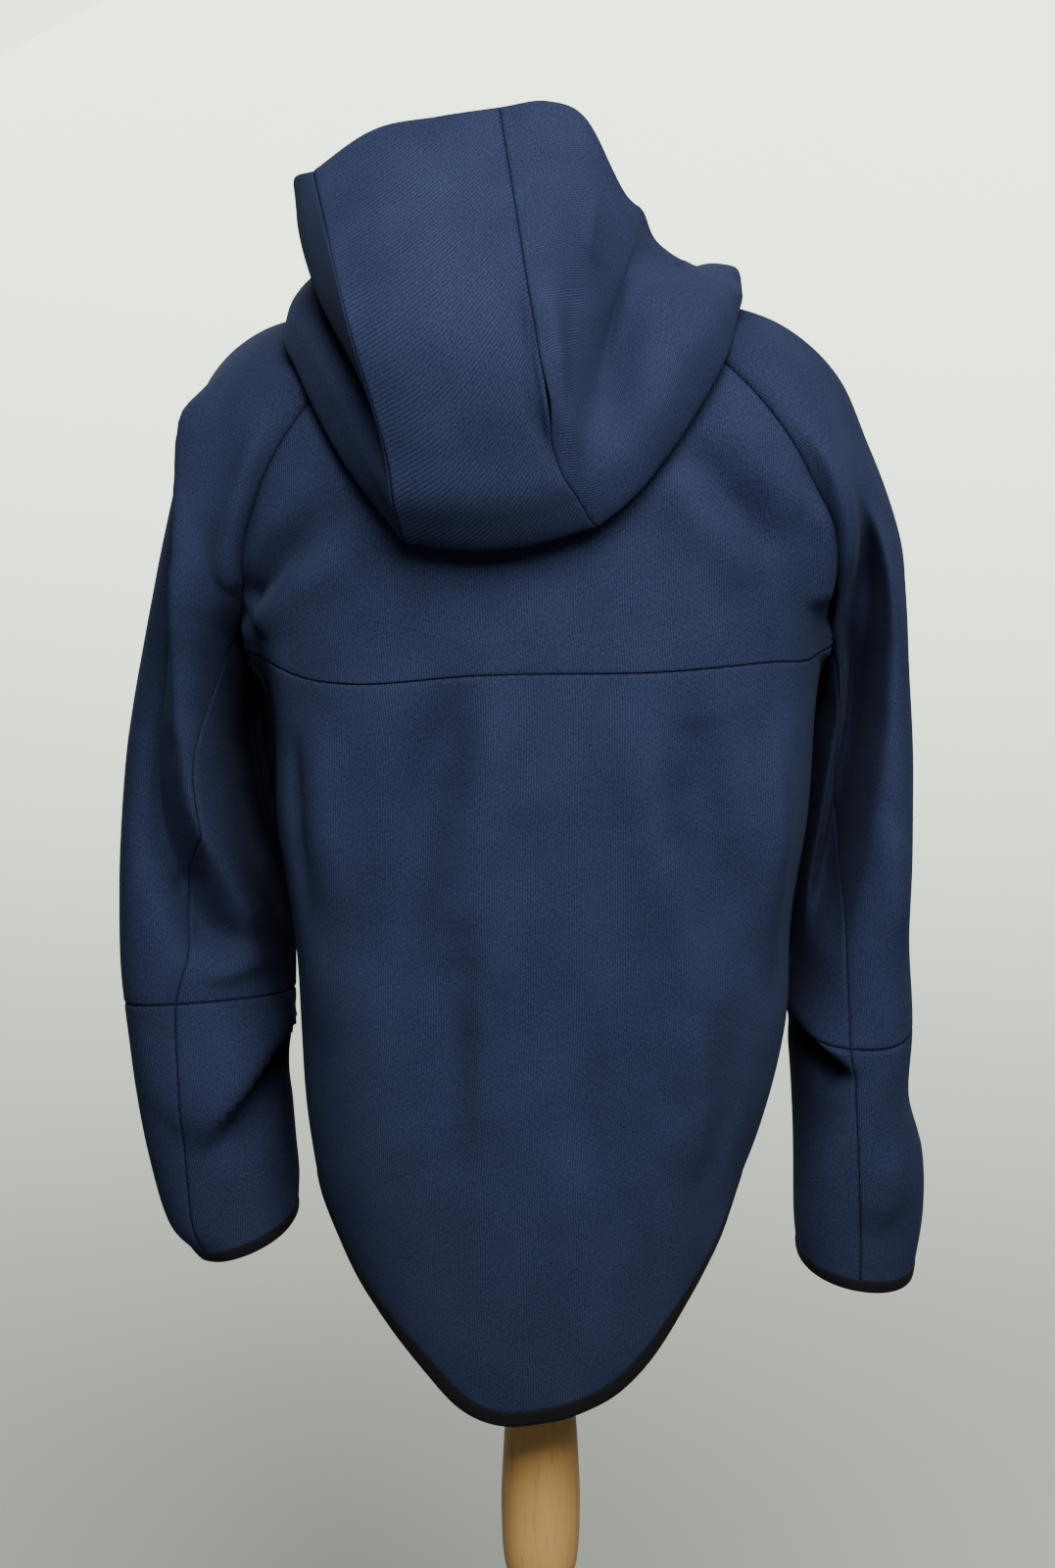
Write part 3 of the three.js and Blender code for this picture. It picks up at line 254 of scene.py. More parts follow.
FORM = Table("drop half off back front", [
    (606, 124, 0, 66, 74), (600, 134, 0, 76, 84), (560, 145, 0, 88, 96), (480, 150, 0, 93, 100),
    (390, 146, 0, 90, 100), (330, 150, 0, 95, 104), (260, 162, 0, 106, 112),
    (200, 174, 0, 118, 114), (140, 186, 0, 121, 110), (100, 196, 0, 118, 96),
    (70, 200, 0, 111, 84), (45, 192, 0, 97, 70), (25, 172, 0, 82, 59), (10, 140, 0, 70, 50),
    (-2, 88, 0, 60, 48), (-16, 63, 0, 52, 50), (-50, 58, 0, 48, 54), (-84, 57, 0, 46, 56),
    (-90, 50, 0, 40, 49),
])
POST = Table("z r", [
    (693.6, 46), (684, 46), (676, 26), (620, 21), (560, 22.5), (510, 26), (462, 27.6), (425, 25),
    (396, 17), (384, 22), (372, 22), (360, 16), (240, 19), (110, 21), (60, 25), (40, 36),
    (30.3, 38),
])
BASE = {"radius": 185, "edge": 14, "round": 8, "top": 30, "foot": 3, "flat": 60}
ZIP = {"tape_from": 3.6, "tape_to": 16, "tape_thick": 1.2, "clear": 0.8, "slider_at": 16}

# ---- Body surface ----
body_section = BODY.by("drop", "half", "off", "back", "front")
form_section = FORM.by("drop", "half", "off", "back", "front")


def across(angle):
    return (np.sin(angle) + SQUARENESS * np.sin(3 * angle)) / (1 - SQUARENESS)


def section_point(section, angle, drop):
    """Angle 0 is the centre back, and +90 degrees the left side."""
    half, off, back, front = np.moveaxis(section, -1, 0)
    along = (np.cos(angle) - SQUARENESS * np.cos(3 * angle)) / (1 - SQUARENESS)
    y = along * np.where(along > 0, back, front)
    return np.stack(np.broadcast_arrays(off + half * across(angle), y, SHOULDER - drop), -1)


def body_point(angle, drop):
    return section_point(body_section(drop), angle, drop)


def reach(drop, side):
    """The angle from the centre line at which a section is so far out."""
    goal = side / body_section(drop)[..., 0]
    low, high = np.zeros_like(goal), np.full_like(goal, math.pi / 2)
    for _ in range(40):
        middle = (low + high) / 2
        inside = across(middle) < goal
        low, high = np.where(inside, middle, low), np.where(inside, high, middle)
    return high


hem_table = HEM.by("angle", "left", "right")


def hem_drop(degrees):
    both = hem_table(np.abs(degrees))
    return np.where(degrees > 0, both[..., 0], both[..., 1])


def yoke_drop(u):
    return YOKE_SEAM.by("at", "drop")(u)[..., 0]


RAGLAN_END = len(RAGLAN_BACK) - 1


def raglan_seam(rows, back):
    """Drop and angle along a raglan seam, by a row number that is even along the seam."""
    drop, side = np.moveaxis(rows.at("drop", "side")(np.linspace(0, RAGLAN_END, 241)), -1, 0)
    angle = reach(drop, side)
    place = body_point(angle if back else math.pi - angle, drop)
    along = run(place)

    def seam(at):
        goal = np.minimum(at, RAGLAN_END) / RAGLAN_END * along[-1]
        return np.interp(goal, along, drop), np.interp(goal, along, angle)
    return seam


raglan_back = raglan_seam(RAGLAN_BACK, True)
raglan_front = raglan_seam(RAGLAN_FRONT, False)


def seam_point(sign, at, back):
    drop, angle = (raglan_back if back else raglan_front)(at)
    return body_point(sign * (angle if back else math.pi - angle), drop)


# ---- Sleeve surface ----
def sleeve_point(sleeve, at, half, s):
    """at: rows from the neck over the underarm to the cuff. half: 1 behind, -1 in front.
    s: 0 at the raglan seam or the inner point, 1 at the ridge."""
    side, cap, tube = sleeve["side"], sleeve["cap"], sleeve["tube"]
    deep = tube.get("back" if half > 0 else "front")[:, 0]
    zero, off = np.zeros(len(tube)), np.zeros(len(cap))
    depth = np.stack([zero, half * deep * 4 / 3, -tube.get("sag")[:, 0] if half > 0 else zero], -1)
    lean = half * side * SKEW * (tube.get("yo") - tube.get("yi"))[:, 0]
    skew = depth + np.stack([lean, zero, zero], -1)
    flip, lift = np.array([side, 1, -1]), np.array([0, 0, SHOULDER])
    ridge = np.concatenate([cap.get("x", "y", "drop"), tube.get("xo", "yo", "do")]) * flip + lift
    leave = np.concatenate([cap.get("out", "along", "up") * [side, half, 1], skew])
    over = np.stack([off, half * cap.get("over")[:, 0], off], -1)
    arrive = np.concatenate([over, depth])
    inner = tube.get("xi", "yi", "di") * flip + lift
    inner[0] = seam_point(side, RAGLAN_END, half > 0)
    at = np.asarray(at, float)
    low = through(np.arange(len(inner)))(np.maximum(at - RAGLAN_END, 0)) @ inner
    start = np.where((at <= RAGLAN_END)[..., None], seam_point(side, at, half > 0), low)
    rows = through(np.arange(len(ridge)))(at)
    a, b, c = rows @ leave, rows @ ridge, rows @ arrive
    return bezier(start, a, b, c, np.asarray(s, float)[..., None])


def front_at(sign, u, width, drop):
    section = body_section(drop)
    half, off = section[..., 0], section[..., 1]
    start = np.arcsin(np.minimum(1, np.abs(sign * ZIP_HALF - off) / (half * ZIP_SPREAD)))
    start = np.where((sign * ZIP_HALF - off > 0) == (sign > 0), start, -start)
    return section_point(section, sign * (math.pi - mix(start, width, u)), drop)


def front_point(sign, u, row):
    """A front, from the zip (u = 0) to the raglan and side seams (u = 1)."""
    drop, angle = raglan_front(row)
    top = RAGLAN_FRONT.rows[0, 0]
    share = (drop - top) / (UNDERARM - top)
    high = front_at(sign, u, angle, drop + (NECK_DROP["front"] - top) * (1 - share) * (1 - u * u))
    low_drop = mix(UNDERARM, hem_drop(sign * (180 - u * 90)), np.maximum(row - RAGLAN_END, 0))
    low = front_at(sign, u, math.pi / 2, low_drop)
    p = np.where((row <= RAGLAN_END)[..., None], high, low)
    p[..., 0] = np.where(u <= 1e-9, sign * ZIP_HALF, p[..., 0])
    return p


# ---- Hood surface ----
def neck_line():
    ends = [front_point(1, np.linspace(0.05, 1, 9), np.zeros(9))]
    back_u = np.linspace(1, -1, 13)
    drop = mix(NECK_DROP["back"], RAGLAN_BACK.rows[0, 0], back_u**2)
    t, zero = np.linspace(0, 1, 7), np.zeros(7)
    left, right = SLEEVES.values()
    ends += [sleeve_point(left, zero, -1, t), sleeve_point(left, zero, 1, t[::-1])]
    ends += [body_point(back_u * raglan_back(np.zeros(1))[1], drop)]
    ends += [sleeve_point(right, zero, 1, t), sleeve_point(right, zero, -1, t[::-1])]
    ends += [front_point(-1, np.linspace(1, 0.05, 9), np.zeros(9))]
    line = np.concatenate(ends)
    angle = np.degrees(np.arctan2(line[:, 0], line[:, 1]))
    order = np.argsort(angle, kind="stable")
    return angle[order], line[order]


NECK_ANGLE, NECK_LINE = neck_line()


def hood_foot(neck):
    p = np.stack([np.interp(neck, NECK_ANGLE, NECK_LINE[:, k]) for k in range(3)], -1)
    return p + [0, 0, NECK_GAP]


def hood_station(neck, *points):
    """The points up the cloth at one station, from its foot on the neck seam to the face edge."""
    foot = hood_foot(neck)
    places = np.array(points, float) * [1, 1, -1] + [0, 0, SHOULDER]
    edge = places[-1]
    if len(places) == 1:
        return np.array([mix(foot, edge, k) for k in HOOD_KNOTS])
    low, turn = places[0], math.radians(neck)
    out = HOOD_RISE["out"]
    rise = foot + np.array([math.sin(turn) * out, math.cos(turn) * out, HOOD_RISE["up"]])
    x, y, z = mix(foot, low, HOOD_LIFT["at"])
    half, _, back, _ = body_section(SHOULDER - z)
    away = unit(np.array([x / half**2, y / back**2, 0]))
    under = np.array([x, y, z + HOOD_LIFT["up"]]) + away * HOOD_LIFT["out"]
    return np.array([foot, rise, under, *places])


HOOD_NAMES = [row[0] for row in HOOD]
HOOD_STATIONS = np.array([hood_station(*row[1:]) for row in HOOD])
hood_rows = through(HOOD_KNOTS)
hood_seams = [HOOD_NAMES.index(n) for n in ("seam left", "seam right")]
hood_columns = through(np.arange(len(HOOD)), hood_seams)
hood_neck = through(np.arange(len(HOOD)))


def hood_grid(v, stations):
    lines = np.einsum("sn,nkc->skc", hood_columns(stations), HOOD_STATIONS)
    lines[:, 0] = hood_foot(hood_neck(stations) @ np.array([row[1] for row in HOOD]))
    return np.einsum("vk,skc->vsc", hood_rows(v), lines)


# ---- Cloth ----
def dense(a, b, length, ends="11"):
    """Parameters from a to b about STEP apart, and closer together at the ends marked 1."""
    n = max(6, round(length / STEP))
    near = np.array(EDGE_STEPS) / length
    at = np.linspace(0, 1, n + 1)
    if ends[0] == "1":
        at = np.concatenate([[0], near, at[at > near[-1] * 1.4]])
    if ends[1] == "1":
        at = np.concatenate([at[at < 1 - near[-1] * 1.4], 1 - near[::-1], [1]])
    return mix(a, b, at)


def normals(grid):
    down = np.gradient(grid, axis=0)
    along = np.gradient(grid, axis=1)
    return unit(np.cross(down, along))


def lengths(grid, axis):
    """Distance of every point from the grid's first line, along the other axis's lines."""
    step = np.linalg.norm(np.diff(grid, axis=axis), axis=-1)
    start = np.zeros_like(np.take(step, [0], axis=axis))
    return np.cumsum(np.concatenate([start, step], axis=axis), axis=axis)


def edge_distances(grid):
    """Distance of every point from the grid's top, bottom, left and right edge."""
    wide, down = lengths(grid, 1), lengths(grid, 0)
    return down, down[-1:] - down, wide, wide[:, -1:] - wide


def border(n, m):
    """The vertex numbers round the edge of an n by m grid, ending where they start."""
    index = np.arange(n * m).reshape(n, m)
    return np.concatenate([index[0], index[1:, -1], index[-1, -2::-1], index[-2::-1, 0]])


def build(name, grid, face, slot, nodes, edges="1111", thick=CLOTH):
    """A cloth wall from a grid of its outer face and its normals. edges: 1 where the top, bottom,
    left and right edge turns in at a seam."""
    turn = np.zeros(grid.shape[:2])
    for flag, far in zip(edges, edge_distances(grid)):
        if flag == "1":
            t = np.clip(1 - far / ROLL["over"], 0, 1)
            turn = np.maximum(turn, ROLL["deep"] * (1 - np.sqrt(1 - t * t)))
    outer = grid - face * turn[..., None]
    points = np.concatenate([outer.reshape(-1, 3), (grid - face * thick).reshape(-1, 3)]) * MM
    n, m = grid.shape[:2]
    index = np.arange(n * m).reshape(n, m)
    a, b, c, d = index[:-1, :-1], index[1:, :-1], index[1:, 1:], index[:-1, 1:]
    out = np.stack([a, b, c, d], -1).reshape(-1, 4)
    back = np.stack([a, d, c, b], -1).reshape(-1, 4) + n * m
    rim = border(n, m)
    rims = np.stack([rim[:-1], rim[1:], rim[1:] + n * m, rim[:-1] + n * m], -1)
    mesh = bpy.data.meshes.new(name)
    mesh.from_pydata(points.tolist(), [], np.concatenate([out, back, rims]).tolist())
    mesh.validate()
    mesh.shade_smooth()
    wide = lengths(grid, 1)
    uv = np.stack([wide - wide[:, m // 2:m // 2 + 1], -lengths(grid, 0)], -1).reshape(-1, 2)
    lay_uv(mesh, np.concatenate([uv, uv]))
    return add_piece(name, mesh, slot, nodes), outer, face


def lay_uv(mesh, uv):
    """Coordinates for the weave: one pair in mm for each vertex."""
    corner = np.empty(len(mesh.loops), np.int32)
    mesh.loops.foreach_get("vertex_index", corner)
    layer = mesh.uv_layers.new(name="cloth")
    layer.data.foreach_set("uv", (uv * MM)[corner].reshape(-1).astype(np.float32))


def linked(name, data):
    item = bpy.data.objects.new(name, data)
    bpy.context.scene.collection.objects.link(item)
    return item


def add_piece(name, mesh, slot, nodes, body=BODY_NAME, split=None):
    """A piece that rides a body and stands for CAD nodes. split: the angle in degrees from which an
    edge is sharp."""
    piece = linked(name, mesh)
    if split:
        piece.modifiers.new("edges", "EDGE_SPLIT").split_angle = math.radians(split)
    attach(piece, body)
    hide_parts(*nodes)
    return piece


# ---- Folds ----
# Folds by group of panels and face, 1 behind and -1 in front. Each runs along a route of (X, Z)
# points and moves the cloth along its normal. Its profile is a list of (height, shift, left, right,
# power): a rise, or a trough where height is negative, that many mm to the left of the route, with
# a width on each side, in the shape of a bell of that power, 2 where none is given. Left is as
# walked along the route on the outer face. fade: share of the route over which it starts and ends.
# spread: how much wider it is at its start and its end. push: the cloth moves straight back or
# forth (along Y) and not along its normal.
Fold = namedtuple("Fold", "route profile fade spread push", defaults=[(0.3, 0.3), (1, 1), False])
FOLDS = {
("body left", 1): [
    # Yoke: a valley from each armpit towards the blades, between soft bulges
    Fold([(200, 1096), (186, 1110), (168, 1130), (148, 1148), (122, 1166)],
         [(-12, 0, 10, 14), (7, -24, 16, 16), (3, 22, 12, 12)], (0.05, 0.6), (0.7, 1.4)),
],
("body", 1): [
    Fold([(-86, 1212), (-108, 1182), (-125, 1160), (-143, 1139), (-160, 1116)],
         [(-9, 0, 12, 13), (5, -26, 14, 16), (6, 30, 14, 14)], (0.35, 0.3)),
    Fold([(-176, 1176), (-185, 1146), (-188, 1122), (-187, 1103), (-183, 1088)],
         [(9, 0, 16, 9)], (0.4, 0.12)),
    # The flanks: a rolled edge towards each arm
    Fold([(190, 1120), (184, 1072), (178, 1020), (175, 950), (168, 890), (160, 840), (150, 780)],
         [(16, 0, 30, 12)], (0.25, 0.4), push=True),
    Fold([(-176, 1060), (-172, 1000), (-168, 940), (-160, 880), (-152, 800)],
         [(12, 0, 12, 30)], (0.3, 0.4), push=True),
    Fold([(199, 1090), (198, 1072), (195, 1054)], [(6, 0, 13, 13)]),
    Fold([(-199, 1090), (-197, 1072), (-194, 1054)], [(6, 0, 13, 13)]),
    # Lower back: broad soft drapes
    Fold([(52, 1050), (60, 1012), (70, 985), (78, 949), (88, 905), (98, 860), (107, 800)],
         [(-9, 0, 20, 20), (7, 32, 16, 20)], (0.2, 0.5), (0.9, 1.5)),
    Fold([(150, 1030), (146, 960), (143, 915), (138, 860)],
         [(7, 0, 16, 20), (-5, -28, 12, 12)], (0.4, 0.5)),
    Fold([(-60, 1046), (-71, 960), (-77, 916), (-91, 882), (-104, 849), (-112, 804), (-113, 740)],
         [(7, 0, 18, 18), (-8, 36, 20, 20)], (0.25, 0.5), (0.9, 1.3)),
    Fold([(-150, 1020), (-158, 940), (-150, 880)], [(5, 0, 14, 14)], (0.4, 0.4)),
    Fold([(20, 900), (34, 840), (40, 770), (36, 700)],
         [(5, 0, 14, 10), (-5, -24, 12, 14)], (0.3, 0.4)),
    Fold([(-95, 830), (-105, 780), (-100, 690)], [(5, 0, 10, 14), (-5, 24, 10, 12)], (0.4, 0.4)),
    Fold([(-20, 860), (-28, 780), (-24, 690)], [(-5, 0, 14, 16)], (0.4, 0.4)),
],
("left", 1): [
    # Left sleeve: a roll over the raglan seam, a sharp rolled edge down the back of the
    # arm with a deep hollow inside it, and a flap across the forearm
    Fold([(168, 1222), (181, 1194), (190, 1166), (195, 1140), (198, 1112), (204, 1080)],
         [(6, -9, 7, 10)], (0.25, 0.3)),
    Fold([(232, 1245), (236, 1193), (237, 1163), (240, 1133), (243, 1108), (247, 1079), (250, 1059),
         (252, 1029), (252, 1010), (250, 981), (247, 958), (240, 936), (232, 916), (222, 895),
         (208, 869), (200, 856)],
         [(17, 0, 20, 5, 1.5), (-18, -20, 14, 22)], (0.1, 0.08)),
    Fold([(206, 1096), (204, 1073), (206, 1036), (210, 1001), (207, 972), (203, 950), (196, 924),
         (188, 905), (176, 873)],
         [(-46, 0, 26, 17, 3)], (0.12, 0.2), (0.7, 0.8), push=True),
    Fold([(245, 836), (212, 843), (188, 852)], [(6, 0, 16, 8)]),
    Fold([(172, 822), (184, 796), (200, 770), (218, 744), (243, 708)],
         [(12, 0, 4.5, 32, 1.8), (-15, 10, 34, 7)], (0.25, 0.3)),
    Fold([(258, 900), (246, 903), (232, 912)], [(-4, 0, 5, 6)], (0.4, 0.3)),
],
("right", 1): [
    # Right sleeve: a rolled edge over the raglan seam, a deep valley, a tuck over the
    # elbow seam
    Fold([(-166, 1222), (-178, 1203), (-190, 1181), (-200, 1153), (-206, 1117), (-207, 1092),
         (-206, 1056), (-201, 1015)],
         [(10, 0, 14, 5, 1.7)], (0.25, 0.25)),
    Fold([(-210, 1172), (-219, 1134), (-222, 1092), (-222, 1056), (-221, 1020), (-217, 984),
         (-210, 938), (-202, 892), (-196, 846)],
         [(-40, 0, 16, 16, 3)], (0.2, 0.25), (0.7, 1.2), push=True),
    Fold([(-168, 830), (-182, 813), (-196, 792), (-208, 780), (-226, 762)],
         [(10, 3, 20, 3, 1.6), (-15, -6, 5, 16)], (0.05, 0.3)),
    Fold([(-247, 725), (-242, 680), (-239, 650)], [(5, 0, 14, 16)], (0.4, 0.4)),
    Fold([(-240, 960), (-246, 900), (-244, 840)], [(5, 0, 14, 12)], (0.4, 0.4)),
],
("hood", 1): [
    # Hood: a light crease near the crown, the fold beside the right seam, a low ridge further right
    # and a shallow trough near the left seam
    Fold([(-36, 1372), (-33, 1342), (-29, 1322), (-26, 1293), (-24, 1268), (-21, 1250)],
         [(4, 0, 9, 5, 1.3)], (0.3, 0.4)),
    Fold([(13, 1301), (10, 1270), (8, 1239), (4, 1208), (-4, 1177), (-15, 1155)],
         [(-7, 1, 8, 3.5, 1.5), (9, 16, 10, 14)]),
    Fold([(-80, 1306), (-77, 1270), (-70, 1228), (-58, 1186)], [(7, 0, 22, 18)], (0.4, 0.4)),
    Fold([(90, 1280), (78, 1230), (66, 1180)], [(-3, 0, 20, 20)], (0.4, 0.4)),
],
("body left", -1): [
    # Fronts: drapes from the armpits and down beside the zip
    Fold([(198, 1098), (172, 1082), (140, 1064), (100, 1046)],
         [(-10, 0, 12, 12), (6, 22, 14, 14)], (0.1, 0.5), (0.7, 1.4)),
],
("body right", -1): [
    Fold([(-198, 1096), (-168, 1086), (-130, 1074), (-96, 1066)],
         [(-9, 0, 11, 13), (6, -24, 14, 14)], (0.1, 0.5), (0.7, 1.3)),
],
("body", -1): [
    Fold([(96, 1020), (106, 930), (114, 840), (112, 740)],
         [(-10, 0, 18, 20), (6, 32, 14, 18)], (0.3, 0.4)),
    Fold([(-74, 1010), (-88, 900), (-96, 800), (-92, 720)],
         [(7, 0, 16, 16), (-9, -32, 16, 18)], (0.3, 0.4)),
    Fold([(150, 905), (124, 884), (88, 876)], [(-6, 0, 8, 11), (4, 16, 9, 9)], (0.3, 0.4)),
    Fold([(-146, 940), (-120, 916), (-92, 906)], [(-5, 0, 8, 10)], (0.3, 0.4)),
],
("left", -1): [
    # Sleeve fronts: the armpit's bunching, and short creases inside the elbow
    Fold([(224, 1088), (215, 1062), (205, 1032), (198, 1000)], [(12, 0, 18, 18)], (0.25, 0.3)),
    Fold([(262, 1110), (258, 1040), (248, 980), (236, 930)], [(-12, 0, 16, 15), (6, 26, 12, 14)]),
    Fold([(288, 884), (262, 866), (226, 872)], [(-9, 0, 7, 9), (5, 14, 8, 8)], (0.2, 0.3)),
    Fold([(286, 842), (255, 822), (216, 836)], [(-8, 0, 7, 8), (4, -13, 7, 7)], (0.3, 0.25)),
    Fold([(262, 770), (242, 730), (222, 696)], [(-6, 0, 12, 12)], (0.3, 0.4)),
],
("right", -1): [
    Fold([(-216, 1084), (-208, 1050), (-202, 1010)], [(8, 0, 16, 16)]),
    Fold([(-246, 1120), (-242, 1050), (-232, 980), (-222, 920)], [(-11, 0, 15, 16)]),
    Fold([(-258, 870), (-234, 850), (-204, 858)], [(-9, 0, 8, 8), (5, 14, 8, 8)], (0.2, 0.3)),
    Fold([(-262, 826), (-238, 806), (-206, 818)], [(-8, 0, 7, 8)], (0.3, 0.25)),
    Fold([(-262, 740), (-246, 700), (-236, 660)], [(-5, 0, 12, 12)], (0.4, 0.4)),
],
}
GROUPS = {
    "body": ["back_yoke", "back_lower", "front_left", "front_right"],
    **{side: [f"sleeve_{side}_upper", f"sleeve_{side}_under", f"forearm_{side}_outer",
              f"forearm_{side}_under"] for side in SLEEVES},
    "hood": ["hood_left", "hood_centre", "hood_right"],
}


def smoothed(line, loop=False, times=3):
    for _ in range(times):
        ends = line[0], line[-1]
        line = (np.roll(line, 1, 0) + 2 * line + np.roll(line, -1, 0)) / 4
        if not loop:
            line[0], line[-1] = ends
    return line


def finely(route):
    """A smooth route with points about ROUTE_STEP apart."""
    route = np.array(route, float)
    knots = run(route)
    at = np.linspace(0, knots[-1], max(4, round(knots[-1] / ROUTE_STEP)) + 1)
    return through(knots)(at) @ route


def laid_on(points, faces, face, route):
    """A route's (X, Z) points on a group's surface, seen from behind (1) or in front (-1)."""
    shown = faces[:, 1] * face > 0.03
    p = points[shown]
    flat = p[:, [0, 2]]
    return np.array([p[np.argmin(((flat - q)**2).sum(1))] for q in finely(route)])


def fold_height(fold, face_sign, line, grid, face):
    """How far one fold moves each point of a grid along its normal."""
    reach_mm = max(abs(s) + 2.4 * max(a, b) for _, s, a, b, *_ in fold.profile) * max(fold.spread)
    points, out = grid.reshape(-1, 3), face.reshape(-1, 3)
    low, high = line.min(0) - reach_mm, line.max(0) + reach_mm
    near = np.flatnonzero(((points > low) & (points < high)).all(1))
    height = np.zeros(len(points))
    if not len(near):
        return height.reshape(grid.shape[:2])
    p, n = points[near], out[near]
    along = run(line)
    best = np.full(len(near), np.inf)
    side, at = np.zeros(len(near)), np.zeros(len(near))
    for i in range(len(line) - 1):
        d = line[i + 1] - line[i]
        t = np.clip(((p - line[i]) @ d) / max(d @ d, 1e-9), 0, 1)
        away = p - line[i] - t[:, None] * d
        far = np.linalg.norm(away, axis=1)
        closer = far < best
        best = np.where(closer, far, best)
        left = (np.cross(n, unit(d)) * away).sum(1)
        side = np.where(closer, np.sign(left), side)
        at = np.where(closer, along[i] + t * (along[i + 1] - along[i]), at)
    at = at / along[-1]
    scale = mix(*fold.spread, at)
    signed = best * side
    total = np.zeros(len(near))
    for tall, shift, left, right, *power in fold.profile:
        d = signed - shift * scale
        width = np.where(d > 0, left, right) * scale
        total += tall * np.exp(-(np.abs(d) / width)**(power[0] if power else 2))
    start, end = fold.fade
    total *= ramp(at / max(start, 1e-6)) * ramp((1 - at) / max(end, 1e-6))
    if fold.push:
        total *= ramp(n[:, 1] * face_sign / PUSH_FACING)
    height[near] = total
    return height.reshape(grid.shape[:2])


def ripple(grid):
    """The slight unevenness of cloth: a few long waves that cross."""
    total = np.zeros(grid.shape[:2])
    for length, size, turn in RIPPLES:
        direction = np.array([math.cos(turn), math.sin(2.3 * turn), 0.6 * math.sin(turn)])
        total += size * np.sin(grid @ unit(direction) * 2 * math.pi / length + 5 * turn)
    return total


def shapes(grids):
    """Every panel's grid with its folds."""
    normal = {name: normals(grid) for name, grid in grids.items()}
    moved = {name: normal[name] * ripple(grid)[..., None] for name, grid in grids.items()}
    for (groups, face_sign), folds in FOLDS.items():
        names = [n for group in groups.split() for n in GROUPS[group]]
        points = np.concatenate([grids[n].reshape(-1, 3) for n in names])
        faces = np.concatenate([normal[n].reshape(-1, 3) for n in names])
        for fold in folds:
            line = smoothed(laid_on(points, faces, face_sign, fold.route))
            for n in names:
                way = np.array([0, face_sign, 0]) if fold.push else normal[n]
                moved[n] += way * fold_height(fold, face_sign, line, grids[n], normal[n])[..., None]
    for name, grid in grids.items():
        beside_zip = (grid[..., 1] < 0) & (grid[..., 2] > ZIP_KEEP["low"])
        clear = ramp((np.abs(grid[..., 0]) - ZIP_KEEP["flat"]) / ZIP_KEEP["over"])
        moved[name] *= np.where(beside_zip, clear, 1)[..., None]
    return {name: grid + moved[name] for name, grid in grids.items()}


def shared_normals(grids, faces):
    """Turns the normals at the panels' edges to the mean of the panels that meet there."""
    rims = {name: np.unique(border(*grid.shape[:2])) for name, grid in grids.items()}
    places = np.concatenate([grid.reshape(-1, 3)[rims[name]] for name, grid in grids.items()])
    ways = np.concatenate([faces[name].reshape(-1, 3)[rim] for name, rim in rims.items()])
    owner = np.repeat(np.arange(len(rims)), [len(rim) for rim in rims.values()])
    tree = KDTree(len(places))
    for i, place in enumerate(places):
        tree.insert(place, i)
    tree.balance()
    shared = ways.copy()
    for i, place in enumerate(places):
        near = np.array([j for _, j, _ in tree.find_range(place, MEET)])
        near = near[owner[near] != owner[i]]
        near = near[ways[near] @ ways[i] > 0]
        if len(near):
            shared[i] = unit(ways[i] + unit(ways[near].mean(0)))
    result, start = {}, 0
    for name, rim in rims.items():
        edge = faces[name].reshape(-1, 3).copy()
        edge[rim] = shared[start:start + len(rim)]
        start += len(rim)
        result[name] = turned(grids[name], faces[name], edge.reshape(grids[name].shape))
    return result


def turned(grid, face, edge):
    """Normals that turn towards those of the grid's edges near them."""
    total = face.copy()
    for far, side in zip(edge_distances(grid), (edge[:1], edge[-1:], edge[:, :1], edge[:, -1:])):
        share = (1 - ramp(far / TURN_OVER))[..., None]
        total = mix(total, np.broadcast_to(side, face.shape), share)
    return unit(total)


# ---- Garment panels ----
def towards(start, goal, d):
    step = goal - start
    return unit(step) * np.minimum(d, 0.4 * np.linalg.norm(step, axis=-1, keepdims=True))


def inset(grid, d=SEAM / 16):
    """Moves a grid's border inwards by d, which leaves the seam's clearance to its neighbour."""
    out = grid.copy()
    out[0] += towards(grid[0], grid[1], d)
    out[-1] += towards(grid[-1], grid[-2], d)
    out[:, 0] += towards(out[:, 0], out[:, 1], d)
    out[:, -1] += towards(out[:, -1], out[:, -2], d)
    return out


def raglan_rows(seam, t):
    """Row numbers down a raglan seam, spaced half by its length and half by its drop."""
    row = np.linspace(0, RAGLAN_END, 241)
    drop = seam(row)[0]
    measure = row / RAGLAN_END + (drop - drop[0]) / (drop[-1] - drop[0])
    return np.interp(t, measure / 2, row)


def relax(grid, weight, times):
    """Smooths a grid down its columns, where weight is above 0."""
    step = np.linalg.norm(np.diff(grid, axis=0), axis=-1)[..., None] + 1e-9
    for _ in range(times):
        between = (grid[:-2] * step[1:] + grid[2:] * step[:-1]) / (step[1:] + step[:-1])
        grid = grid.copy()
        grid[1:-1] += (between - grid[1:-1]) * weight[1:-1, :, None] * 0.5
    return grid


def yoke_grid():
    drop, angle = raglan_back(raglan_rows(raglan_back, dense(0, 1, 290)))
    u = dense(1, -1, 380)
    top = RAGLAN_BACK.rows[0, 0]
    share = ((drop - top) / (UNDERARM - top))[:, None]
    drops = mix(mix(NECK_DROP["back"], top, u * u), yoke_drop(u), share)
    return body_point(u * angle[:, None], drops)


def back_grid():
    u, v = dense(1, -1, 460), dense(0, 1, 450)[:, None]
    return body_point(u * math.pi / 2 + 0 * v, mix(yoke_drop(u), hem_drop(u * 90), v))


